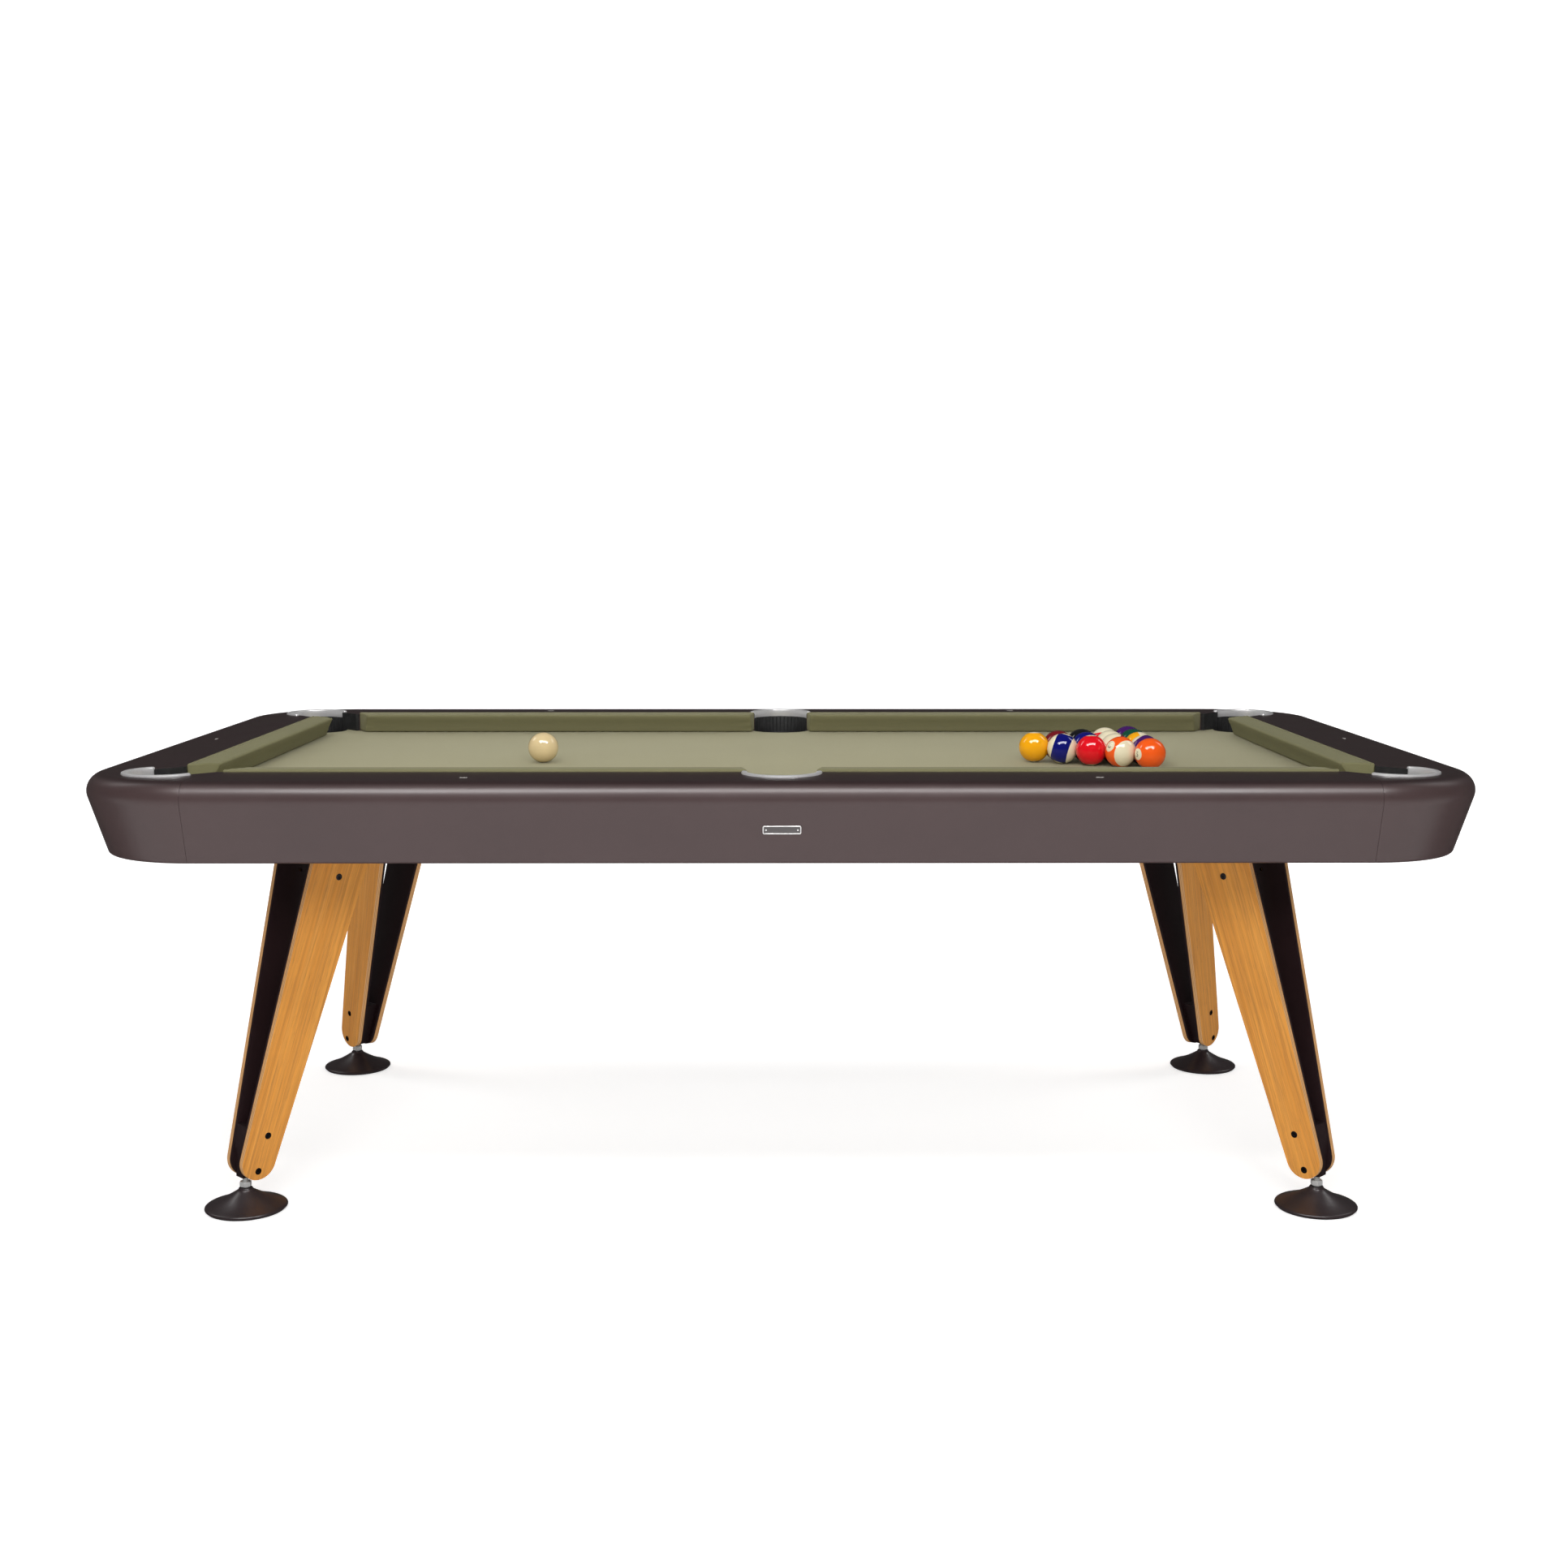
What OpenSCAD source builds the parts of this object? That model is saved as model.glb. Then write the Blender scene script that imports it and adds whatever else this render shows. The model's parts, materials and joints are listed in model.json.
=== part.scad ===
// Seven-foot home pool table: moulded rail and apron shell, cloth-covered bed, six drop
// pockets and four splayed legs, each a pair of wooden boards on a steel bracket.
// +Z up, +X along the table, origin on the floor under the middle of the bed.

/* [Playing field] */
// Length of the playing field between the cushion noses
field_l = 1930; // [1830:10:2030]
// Width of the playing field between the cushion noses
field_w = 965; // [915:5:1015]
// Height of the cloth above the floor
bed_z = 743; // [730:1:760]
// Thickness of the bed slab
slate_t = 22; // [18:1:30]
// Thickness of the cloth
cloth_t = 1.5; // [1:0.5:2]
// How far the bed runs out under the rails, from the nose line
bed_reach = 110; // [90:1:112]

/* [Rails and apron] */
// Width of the flat rail top, outside the cushion
rail_flat = 120; // [100:1:140]
// Height of the rail top above the cloth
rail_rise = 37; // [34:1:40]
// Radius of the rounded outer top edge
edge_r = 30; // [24:1:34]
// Outer corner radius in plan
corner_r = 207; // [195:1:225]
// Height of the apron's lower edge above the floor
apron_z = 645; // [630:1:655]
// Lean of the apron face, inward towards the floor
face_lean = 17.5; // [10:0.5:20]
// Thickness of the apron wall
wall_t = 22; // [16:1:24]
// Radius of the apron's lower outer edge
foot_edge_r = 7; // [4:1:9]
// Gap at the joints between shell panels
seam = 0.8; // [0.4:0.1:1.5]

/* [Cushions] */
// Width of a cushion from nose to rail
cushion_w = 50; // [46:1:54]
// How far the cushion stands proud of the rail
cushion_proud = 4; // [2:1:6]
// Set-back of the cushion noses at a corner pocket
corner_gap = 62; // [58:1:75]
// Half the mouth of a side pocket at the noses
side_gap = 66; // [60:1:72]

/* [Pockets] */
// Inner radius of a pocket
pocket_r = 57; // [54:0.5:58]
// Corner pocket centre, outward from the corner of the field along X and Y
corner_out = 60; // [57:1:61]
// Side pocket centre, outward from the nose line
side_out = 67.5; // [64:0.5:72]
// Wall of the pocket cup
cup_t = 2.5; // [2:0.5:3]
// Height of the underside of a pocket cup
cup_z = 672; // [668:1:680]
// Width of the pocket trim's top flange
trim_w = 10; // [9:0.5:12]

/* [Legs] */
// Foot centre along X
foot_x = 939; // [900:1:950]
// Foot centre along Y
foot_y = 453; // [430:1:460]
// Lean of a leg towards the middle of the table, millimetres per millimetre of height
leg_lean = 0.31; // [0.2:0.01:0.35]
// Width of a leg board at the floor line
board_w = 60; // [50:1:70]
// Growth of the board width with height
board_flare = 0.093; // [0.06:0.001:0.12]
// Distance between the outer faces of a leg's boards at the floor line
pair_w = 40.6; // [38:0.1:44]
// Spread of each board away from the leg's middle, in degrees
spread = 3.98; // [2:0.01:5]
// Thickness of a wooden leg board
wood_t = 10; // [8:1:12]
// Thickness of the leg's steel plates
steel_t = 5; // [4:1:6]
// Height of the lowest point of a leg board
board_z = 55; // [52:1:60]
// Heights of the three screws in each board
screw_z = [71, 132, 578]; // [60:600]

/* [Feet] */
// Radius of a foot pad
pad_r = 71; // [60:1:80]
// Height of the pad's cone
pad_h = 38; // [30:1:40]
// Radius of the levelling stem
stem_r = 5; // [4:0.5:6]
// Travel of the levelling foot
foot_travel = 14; // [8:1:16]

/* [Balls] */
// Radius of a ball
ball_r = 28.6; // [28:0.1:29]
// Place of the cue ball
cue_xy = [-451, -81]; // [-800:800]
// Place of the ball at the rack's apex
rack_xy = [481, -75]; // [-800:800]

/* [Hidden] */
$fn = 96;

// Small lift that lets one solid cut cleanly through another
eps = 0.5;
// Straight steps in the shell section's two arcs
edge_steps = 28;
foot_steps = 14;
half_l = field_l / 2;
half_w = field_w / 2;
rail_z = bed_z + rail_rise;
rail_w = rail_flat + edge_r;
out_x = half_l + cushion_w + rail_w;
out_y = half_w + cushion_w + rail_w;
corner_x = out_x - corner_r;
corner_y = out_y - corner_r;
slate_top = bed_z - cloth_t;
frame_top = slate_top - slate_t;
frame_h = 60;
flange_t = 6;
flange_z = frame_top - frame_h - flange_t;

// Pocket centres: [x, y, direction of the mouth in degrees]
corner_px = half_l + corner_out;
corner_py = half_w + corner_out;
side_py = half_w + side_out;
hole_r = pocket_r + cup_t + 0.5;
// Width of a corner pocket's mouth through the rail
corner_mouth = 2 * pocket_r - 4;
// Depth of the lip that the trim reaches down onto the cup
lip = 12;

// Rails' fastening line, and the bolts' places along it
bolt_in = 30;
long_bolts = [-800, -500, -200, 200, 500, 800];
end_bolts = [-300, 0, 300];
rail_bolt_r = 4;
bolt_clear = 0.3;

// Leg board outline: its left and right edges are straight lines u = a + b * height
board_mid = -13.6;
left_a = board_mid - board_w / 2;
left_b = leg_lean - board_flare / 2;
right_a = board_mid + board_w / 2;
right_b = leg_lean + board_flare / 2;
left_cos = cos(atan(left_b));
right_cos = cos(atan(right_b));
// The rounded end is the circle that touches both edges and the lowest point
end_scale = 1 / (left_cos + right_cos);
end_per_z = left_cos * right_cos * end_scale * (right_b - left_b);
end_at_0 = left_cos * right_cos * end_scale * (right_a - left_a);
end_r = (end_at_0 + end_per_z * board_z) / (1 - end_per_z);
end_z = board_z + end_r;
end_u = left_a + left_b * end_z + end_r / left_cos;
board_top = flange_z / cos(spread) - 1;
// The steel plates run up into the flange
plate_top = (flange_z + 3) / cos(spread);

screw_head_r = 6;
screw_head_t = 4;
screw_proud = 0.4;
screw_r = 3;
inner_screw_shift = 3;
outer_screw_shift = -9;

// Flange bolts: places in the leg's own frame, around the flange's middle
flange_u = board_mid + leg_lean * flange_z;
flange_bolts = [[74, 38], [74, -38], [-74, 38], [-74, -38]];
flange_bolt_r = 4;
block_z = 58;
bore_top = 120;
stem_top = 114;
stem_foot = 16.3;
hex_z = 40;
hex_h = 9;
running = 0.05;

// Cloth line of the pool balls, and the pitch of the rack
ball_lift = 0.3;
ball_z = bed_z + ball_r + ball_lift;
ball_gap = 0.2;
rack_pitch = 2 * ball_r + ball_gap;

// Shell colours
SHELL = [0.34, 0.29, 0.29];
CLOTH = [0.62, 0.60, 0.50];
NOSE = [0.45, 0.44, 0.32];
WOOD = [0.80, 0.55, 0.27];
STEEL = [0.13, 0.09, 0.10];
SILVER = [0.80, 0.80, 0.81];

// ---------- Shell of rails and aprons ----------

// Section of the shell: x outward from the rail's inner edge, y is height
module shell_section() {
    edge_z = rail_z - edge_r;
    lean = [cos(face_lean), -sin(face_lean)];
    join = [rail_flat, edge_z] + edge_r * lean;
    foot_z = apron_z + foot_edge_r;
    foot_run = (foot_edge_r + (join[1] - foot_z) * sin(face_lean)) / cos(face_lean);
    foot_c = [join[0] - foot_run, foot_z];
    wall_run = wall_t / cos(face_lean);
    low_in = foot_c[0] + foot_edge_r * tan(45 + face_lean / 2) - wall_run;
    high_in = low_in + (bed_z - apron_z) * tan(face_lean);
    edge_arc = [for (i = [0:edge_steps])
        let (a = 90 - (90 + face_lean) * i / edge_steps)
            [rail_flat + edge_r * cos(a), edge_z + edge_r * sin(a)]];
    foot_arc = [for (i = [0:foot_steps])
        let (a = -face_lean - (90 - face_lean) * i / foot_steps)
            foot_c + foot_edge_r * [cos(a), sin(a)]];
    polygon(concat([[0, bed_z], [0, rail_z]], edge_arc, foot_arc,
        [[low_in, apron_z], [high_in, bed_z]]));
}

// Straight run of shell along X, its inner edge on the X axis, outer side towards -Y
module shell_run(length) {
    translate([-length / 2, 0, 0])
        rotate([90, 0, 90])
            linear_extrude(length) mirror([1, 0]) shell_section();
}

module rail_bolt_hole(x, y) {
    translate([x, y, frame_top - 1])
        cylinder(r = rail_bolt_r + bolt_clear, h = rail_z - 12 - frame_top + 1, $fn = 32);
}

// Vertical pocket hole with a mouth that opens towards the field
module pocket_cut(x, y, mouth, mouth_w, low, high) {
    translate([x, y, low]) {
        cylinder(r = hole_r, h = high - low);
        rotate([0, 0, mouth])
            translate([0, -mouth_w / 2, 0]) cube([140, mouth_w, high - low]);
    }
}

module long_panel() {
    color(SHELL) difference() {
        translate([0, -half_w - cushion_w, 0]) shell_run(2 * corner_x - seam);
        pocket_cut(0, -side_py, 90, 2 * pocket_r, bed_z - eps, rail_z + eps);
        for (sx = [-1, 1])
            pocket_cut(sx * corner_px, -corner_py, sx < 0 ? 45 : 135, corner_mouth,
                bed_z - eps, rail_z + eps);
        for (x = long_bolts) rail_bolt_hole(x, -half_w - cushion_w - bolt_in);
    }
}

module end_panel() {
    color(SHELL) difference() {
        rotate([0, 0, -90])
            translate([0, -half_l - cushion_w, 0]) shell_run(2 * corner_y - seam);
        for (sy = [-1, 1])
            pocket_cut(-corner_px, sy * corner_py, -sy * 45, corner_mouth,
                bed_z - eps, rail_z + eps);
        for (y = end_bolts) rail_bolt_hole(-half_l - cushion_w - bolt_in, y);
    }
}

// Front left corner; the others are its mirror images
module corner_panel() {
    color(SHELL) difference() {
        translate([-corner_x, -corner_y, 0])
            rotate([0, 0, 180])
                rotate_extrude(angle = 90, $fn = 192)
                    translate([corner_r - rail_w, 0]) shell_section();
        pocket_cut(-corner_px, -corner_py, 45, corner_mouth, bed_z - eps, rail_z + eps);
    }
}

// ---------- Bed ----------

module bed_outline() {
    difference() {
        square([2 * (half_l + bed_reach), 2 * (half_w + bed_reach)], center = true);
        for (sx = [-1, 1], sy = [-1, 1]) {
            translate([sx * corner_px, sy * corner_py]) {
                circle(r = hole_r);
                translate([sx * 80, sy * 80]) square(200, center = true);
            }
        }
        for (sy = [-1, 1]) translate([0, sy * side_py]) circle(r = hole_r);
    }
}

module bed_bolt_holes() {
    for (x = long_bolts, sy = [-1, 1])
        rail_bolt_hole(x, sy * (half_w + cushion_w + bolt_in));
    for (y = end_bolts, sx = [-1, 1])
        rail_bolt_hole(sx * (half_l + cushion_w + bolt_in), y);
}

module slate_bed() {
    color([0.25, 0.26, 0.28]) difference() {
        translate([0, 0, frame_top]) linear_extrude(slate_t) bed_outline();
        bed_bolt_holes();
    }
}

module bed_cloth() {
    color(CLOTH) difference() {
        translate([0, 0, slate_top]) linear_extrude(cloth_t) bed_outline();
        bed_bolt_holes();
    }
}

// ---------- Cushions ----------

// Section: x outward from the nose, y is height
module cushion_section() {
    nose_z = bed_z + 0.635 * 2 * ball_r;
    low = bed_z + 1;
    polygon([[0, nose_z + 1.5], [0, nose_z - 3], [14, low], [cushion_w, low],
        [cushion_w, rail_z + cushion_proud], [6, rail_z + cushion_proud - 1]]);
}

// Cushion along X on the front side, cut to the plan from x = a to b at the nose
module cushion(a, b, run_a, run_b) {
    intersection() {
        translate([a - 60, -half_w, 0])
            rotate([90, 0, 90]) linear_extrude(b - a + 120) mirror([1, 0]) cushion_section();
        linear_extrude(rail_z + 50)
            polygon([[a, -half_w], [b, -half_w], [b + run_b, -half_w - cushion_w],
                [a - run_a, -half_w - cushion_w]]);
    }
}

corner_run = 28;
side_run = 8;

module long_cushion() {
    color(NOSE) cushion(-half_l + corner_gap, -side_gap, corner_run, side_run);
}

module end_cushion() {
    color(NOSE)
        translate([half_w - half_l, 0, 0])
            rotate([0, 0, -90])
                cushion(-half_w + corner_gap, half_w - corner_gap, corner_run, corner_run);
}

// ---------- Pockets ----------

// Drop pocket, its wall cut away above the bed on the side that the mouth faces
module pocket_cup(x, y, mouth) {
    trim_low = rail_z - lip;
    color([0.08, 0.08, 0.08]) translate([x, y, 0]) difference() {
        translate([0, 0, cup_z]) cylinder(r = pocket_r + cup_t, h = trim_low - cup_z);
        translate([0, 0, cup_z + cup_t]) cylinder(r = pocket_r, h = trim_low - cup_z);
        rotate([0, 0, mouth])
            translate([8, -pocket_r - 10, slate_top]) cube([80, 2 * pocket_r + 20, 60]);
    }
}

// Horseshoe trim, open over the angle that the mouth takes
module pocket_trim(x, y, mouth, open) {
    round_r = 2;
    color(SILVER) translate([x, y, 0]) rotate([0, 0, mouth + open / 2])
        rotate_extrude(angle = 360 - open, $fn = 128) {
            translate([pocket_r, rail_z - lip]) square([cup_t, lip + round_r]);
            translate([pocket_r, rail_z]) square([trim_w, round_r]);
            translate([pocket_r + round_r, rail_z + round_r])
                square([trim_w - 2 * round_r, round_r]);
            for (x = [round_r, trim_w - round_r])
                translate([pocket_r + x, rail_z + round_r]) circle(r = round_r, $fn = 48);
        }
}

corner_open = 150;
side_open = 170;

// ---------- Subframe ----------

bearer_w = 180;
bearer_reach = 545;
beam_w = 60;
beam_y = 319;

module flange_bolt_holes() {
    for (p = flange_bolts)
        translate([flange_u + p[0], p[1], flange_z - eps])
            cylinder(r = flange_bolt_r + bolt_clear, h = 50, $fn = 32);
}

// Left bearer, wide enough for the flanges of both left legs
module bearer() {
    mid = foot_x - flange_u * cos(45);
    color([0.45, 0.36, 0.26]) difference() {
        translate([-mid - bearer_w / 2, -bearer_reach, frame_top - frame_h])
            cube([bearer_w, 2 * bearer_reach, frame_h]);
        for (sy = [0, 1]) mirror([0, sy, 0]) at_leg() flange_bolt_holes();
    }
}

module long_beam() {
    mid = foot_x - flange_u * cos(45);
    length = 2 * (mid - bearer_w / 2);
    color([0.45, 0.36, 0.26])
        translate([-length / 2, -beam_y - beam_w / 2, frame_top - frame_h])
            cube([length, beam_w, frame_h]);
}

module middle_beam() {
    length = 2 * beam_y - beam_w;
    color([0.45, 0.36, 0.26])
        translate([-beam_w / 2, -length / 2, frame_top - frame_h])
            cube([beam_w, length, frame_h]);
}

// ---------- Legs ----------

// Leg frame: origin under the front left foot, x towards the middle of the table
module at_leg() {
    translate([-foot_x, -foot_y, 0]) rotate([0, 0, 45]) children();
}

module board_outline(top) {
    from = 180 - atan(left_b);
    to = 360 - atan(right_b);
    steps = 36;
    round_end = [for (i = [0:steps])
        let (a = from + (to - from) * i / steps)
            [end_u + end_r * cos(a), end_z + end_r * sin(a)]];
    polygon(concat(round_end,
        [[right_a + right_b * top, top], [left_a + left_b * top, top]]));
}

// Slab on the inner board's side, between two depths from the outer face
module leg_slab(from, to, top) {
    rotate([spread, 0, 0])
        translate([0, from - pair_w / 2, 0])
            rotate([90, 0, 0]) mirror([0, 0, 1]) linear_extrude(to - from) board_outline(top);
}

// Round bar across the board at each screw, between two depths from the outer face
module at_screws(r, from, to, shift) {
    for (z = screw_z)
        rotate([spread, 0, 0])
            translate([board_mid + leg_lean * z + shift, from - pair_w / 2, z])
                rotate([-90, 0, 0]) cylinder(r = r, h = to - from, $fn = 48);
}

// Board on the inner side; the outer board is its mirror image with its own screw line
module leg_board(shift) {
    color(WOOD) difference() {
        leg_slab(0, wood_t, board_top);
        at_screws(screw_head_r + 0.1, -1, screw_head_t, shift);
        at_screws(screw_r + 0.2, 0, wood_t + 1, shift);
    }
}

module leg_plate() {
    leg_slab(wood_t, wood_t + steel_t, plate_top);
}

// Screw holes through a plate and a little way into the block behind it
module plate_holes(shift) {
    at_screws(screw_r + 0.1, wood_t - 1, wood_t + steel_t + 1, shift);
}

// Block between the plates that carries the levelling stem
module leg_block() {
    gap_0 = pair_w / 2 - wood_t - steel_t + 2;
    block_top = 150;
    intersection() {
        translate([0, 100, 0]) rotate([90, 0, 0]) linear_extrude(200)
            polygon([[-11, block_z], [24, block_z], [58, block_top], [-3, block_top],
                [-11, bore_top + 2]]);
        translate([-100, 0, 0]) rotate([90, 0, 90]) linear_extrude(300)
            polygon([for (s = [[-1, 0], [1, 0], [1, 200], [-1, 200]])
                [s[0] * (gap_0 + s[1] * tan(spread)), s[1]]]);
    }
}

module leg_bracket() {
    color(STEEL) difference() {
        union() {
            leg_plate();
            mirror([0, 1, 0]) leg_plate();
            leg_block();
            translate([flange_u - 90, -75, flange_z]) cube([180, 150, flange_t]);
        }
        plate_holes(inner_screw_shift);
        mirror([0, 1, 0]) plate_holes(outer_screw_shift);
        flange_bolt_holes();
        cylinder(r = stem_r + running, h = bore_top, $fn = 64);
    }
}

module leg_screw_set(shift) {
    at_screws(screw_head_r, -screw_proud, screw_head_t, shift);
    at_screws(screw_r, screw_head_t - 1, wood_t + steel_t, shift);
}

module leg_screws() {
    color(STEEL)
        for (sx = [0, 1], sy = [0, 1])
            mirror([sx, 0, 0]) mirror([0, sy, 0]) at_leg() {
                leg_screw_set(inner_screw_shift);
                mirror([0, 1, 0]) leg_screw_set(outer_screw_shift);
            }
}

module leg_flange_bolts() {
    color(SILVER)
        for (sx = [0, 1], sy = [0, 1], p = flange_bolts)
            mirror([sx, 0, 0]) mirror([0, sy, 0]) at_leg()
                translate([flange_u + p[0], p[1], flange_z]) {
                    translate([0, 0, -5]) cylinder(r = 7, h = 5, $fn = 6);
                    translate([0, 0, -1]) cylinder(r = flange_bolt_r, h = 48, $fn = 32);
                }
}

module rail_bolt(x, y) {
    translate([x, y, frame_top]) {
        translate([0, 0, -5]) cylinder(r = 7, h = 5, $fn = 6);
        translate([0, 0, -1]) cylinder(r = rail_bolt_r, h = 46, $fn = 32);
    }
}

module rail_bolts() {
    color(SILVER) {
        for (x = long_bolts, sy = [-1, 1]) rail_bolt(x, sy * (half_w + cushion_w + bolt_in));
        for (y = end_bolts, sx = [-1, 1]) rail_bolt(sx * (half_l + cushion_w + bolt_in), y);
    }
}

// Threaded stem with the hexagon that a spanner turns
module foot_stem() {
    color(SILVER) {
        translate([0, 0, stem_foot]) cylinder(r = stem_r, h = stem_top - stem_foot, $fn = 64);
        translate([0, 0, hex_z]) cylinder(r = 10.5, h = hex_h, $fn = 6);
    }
}

module foot_pad() {
    rim = 5;
    color([0.19, 0.14, 0.15]) difference() {
        rotate_extrude($fn = 128)
            polygon([[0, 0], [pad_r - 3, 0], [pad_r, 2], [pad_r, rim], [pad_r - 4, rim + 4],
                [12, pad_h - 3], [11, pad_h], [0, pad_h]]);
        translate([0, 0, stem_foot - 0.3]) cylinder(r = stem_r + running, h = pad_h, $fn = 64);
    }
}

// ---------- Trim and balls ----------

module nameplate() {
    plate = [62, 15];
    plate_t = 1.5;
    plate_z = 703;
    drop = rail_z - edge_r - plate_z;
    face_y = out_y - edge_r * (1 - cos(face_lean))
        - (drop - edge_r * sin(face_lean)) * tan(face_lean);
    color(SILVER)
        translate([0, -face_y, plate_z])
            rotate([90 + face_lean, 0, 0])
                linear_extrude(plate_t) {
                    square([plate[0] - 6, plate[1]], center = true);
                    square([plate[0], plate[1] - 6], center = true);
                    for (sx = [-1, 1], sy = [-1, 1])
                        translate([sx * (plate[0] / 2 - 3), sy * (plate[1] / 2 - 3)])
                            circle(r = 3, $fn = 32);
                }
}

// Flat inlay with round ends, lying on the rail top
module rail_sight() {
    run = 9;
    linear_extrude(0.6) {
        square([run, 4], center = true);
        for (s = [-1, 1]) translate([s * run / 2, 0]) circle(r = 2, $fn = 32);
    }
}

module rail_sights() {
    sight_x = 517;
    mid = cushion_w + rail_flat * 0.65;
    color([0.75, 0.74, 0.72]) {
        for (sx = [-1, 1], sy = [-1, 1])
            translate([sx * sight_x, sy * (half_w + mid), rail_z]) rail_sight();
        for (sx = [-1, 1])
            translate([sx * (half_l + mid), 0, rail_z]) rotate([0, 0, 90]) rail_sight();
    }
}

module ball(x, y) {
    translate([x, y, ball_z]) sphere(r = ball_r, $fn = 64);
}

module racked_balls() {
    color([0.75, 0.30, 0.12])
        for (row = [0:4], k = [0:row])
            ball(rack_xy[0] + row * rack_pitch * cos(30),
                rack_xy[1] + (k - row / 2) * rack_pitch);
}

// ---------- Assembly ----------

long_panel();  // front_panel
mirror([0, 1, 0]) long_panel();  // back_panel
end_panel();  // left_panel
mirror([1, 0, 0]) end_panel();  // right_panel
corner_panel();  // corner_panel_front_left
mirror([1, 0, 0]) corner_panel();  // corner_panel_front_right
mirror([0, 1, 0]) corner_panel();  // corner_panel_back_left
mirror([1, 0, 0]) mirror([0, 1, 0]) corner_panel();  // corner_panel_back_right
slate_bed();
bed_cloth();
long_cushion();  // cushion_front_left
mirror([1, 0, 0]) long_cushion();  // cushion_front_right
mirror([0, 1, 0]) long_cushion();  // cushion_back_left
mirror([1, 0, 0]) mirror([0, 1, 0]) long_cushion();  // cushion_back_right
end_cushion();  // cushion_left_end
mirror([1, 0, 0]) end_cushion();  // cushion_right_end
pocket_cup(-corner_px, -corner_py, 45);  // pocket_cup_front_left
pocket_cup(corner_px, -corner_py, 135);  // pocket_cup_front_right
pocket_cup(-corner_px, corner_py, -45);  // pocket_cup_back_left
pocket_cup(corner_px, corner_py, -135);  // pocket_cup_back_right
pocket_cup(0, -side_py, 90);  // pocket_cup_front_side
pocket_cup(0, side_py, -90);  // pocket_cup_back_side
pocket_trim(-corner_px, -corner_py, 45, corner_open);  // pocket_trim_front_left
pocket_trim(corner_px, -corner_py, 135, corner_open);  // pocket_trim_front_right
pocket_trim(-corner_px, corner_py, -45, corner_open);  // pocket_trim_back_left
pocket_trim(corner_px, corner_py, -135, corner_open);  // pocket_trim_back_right
pocket_trim(0, -side_py, 90, side_open);  // pocket_trim_front_side
pocket_trim(0, side_py, -90, side_open);  // pocket_trim_back_side
bearer();  // bearer_left
mirror([1, 0, 0]) bearer();  // bearer_right
long_beam();  // beam_front
mirror([0, 1, 0]) long_beam();  // beam_back
middle_beam();  // beam_middle
// Legs and feet: each part is drawn at the front left and mirrored to the other corners
at_leg() leg_bracket();  // leg_bracket_front_left
mirror([1, 0, 0]) at_leg() leg_bracket();  // leg_bracket_front_right
mirror([0, 1, 0]) at_leg() leg_bracket();  // leg_bracket_back_left
mirror([1, 0, 0]) mirror([0, 1, 0]) at_leg() leg_bracket();  // leg_bracket_back_right
at_leg() leg_board(inner_screw_shift);  // leg_board_inner_front_left
mirror([1, 0, 0]) at_leg() leg_board(inner_screw_shift);  // leg_board_inner_front_right
mirror([0, 1, 0]) at_leg() leg_board(inner_screw_shift);  // leg_board_inner_back_left
mirror([1, 0, 0]) mirror([0, 1, 0]) at_leg() leg_board(inner_screw_shift);  // leg_board_inner_back_right
at_leg() mirror([0, 1, 0]) leg_board(outer_screw_shift);  // leg_board_outer_front_left
mirror([1, 0, 0]) at_leg() mirror([0, 1, 0]) leg_board(outer_screw_shift);  // leg_board_outer_front_right
mirror([0, 1, 0]) at_leg() mirror([0, 1, 0]) leg_board(outer_screw_shift);  // leg_board_outer_back_left
mirror([1, 0, 0]) mirror([0, 1, 0]) at_leg() mirror([0, 1, 0]) leg_board(outer_screw_shift);  // leg_board_outer_back_right
at_leg() foot_stem();  // foot_stem_front_left
mirror([1, 0, 0]) at_leg() foot_stem();  // foot_stem_front_right
mirror([0, 1, 0]) at_leg() foot_stem();  // foot_stem_back_left
mirror([1, 0, 0]) mirror([0, 1, 0]) at_leg() foot_stem();  // foot_stem_back_right
at_leg() foot_pad();  // foot_pad_front_left
mirror([1, 0, 0]) at_leg() foot_pad();  // foot_pad_front_right
mirror([0, 1, 0]) at_leg() foot_pad();  // foot_pad_back_left
mirror([1, 0, 0]) mirror([0, 1, 0]) at_leg() foot_pad();  // foot_pad_back_right
leg_screws();
leg_flange_bolts();
rail_bolts();
nameplate();
rail_sights();
color([0.93, 0.90, 0.80]) ball(cue_xy[0], cue_xy[1]);  // cue_ball
racked_balls();
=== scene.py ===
"""Looks of a seven-foot home pool table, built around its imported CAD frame."""
import json
from math import acos, asin, cos, degrees, exp, pi, radians, sin, sqrt, tan

import bmesh
import bpy
from mathutils import Matrix, Vector
from mathutils.noise import noise


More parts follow.
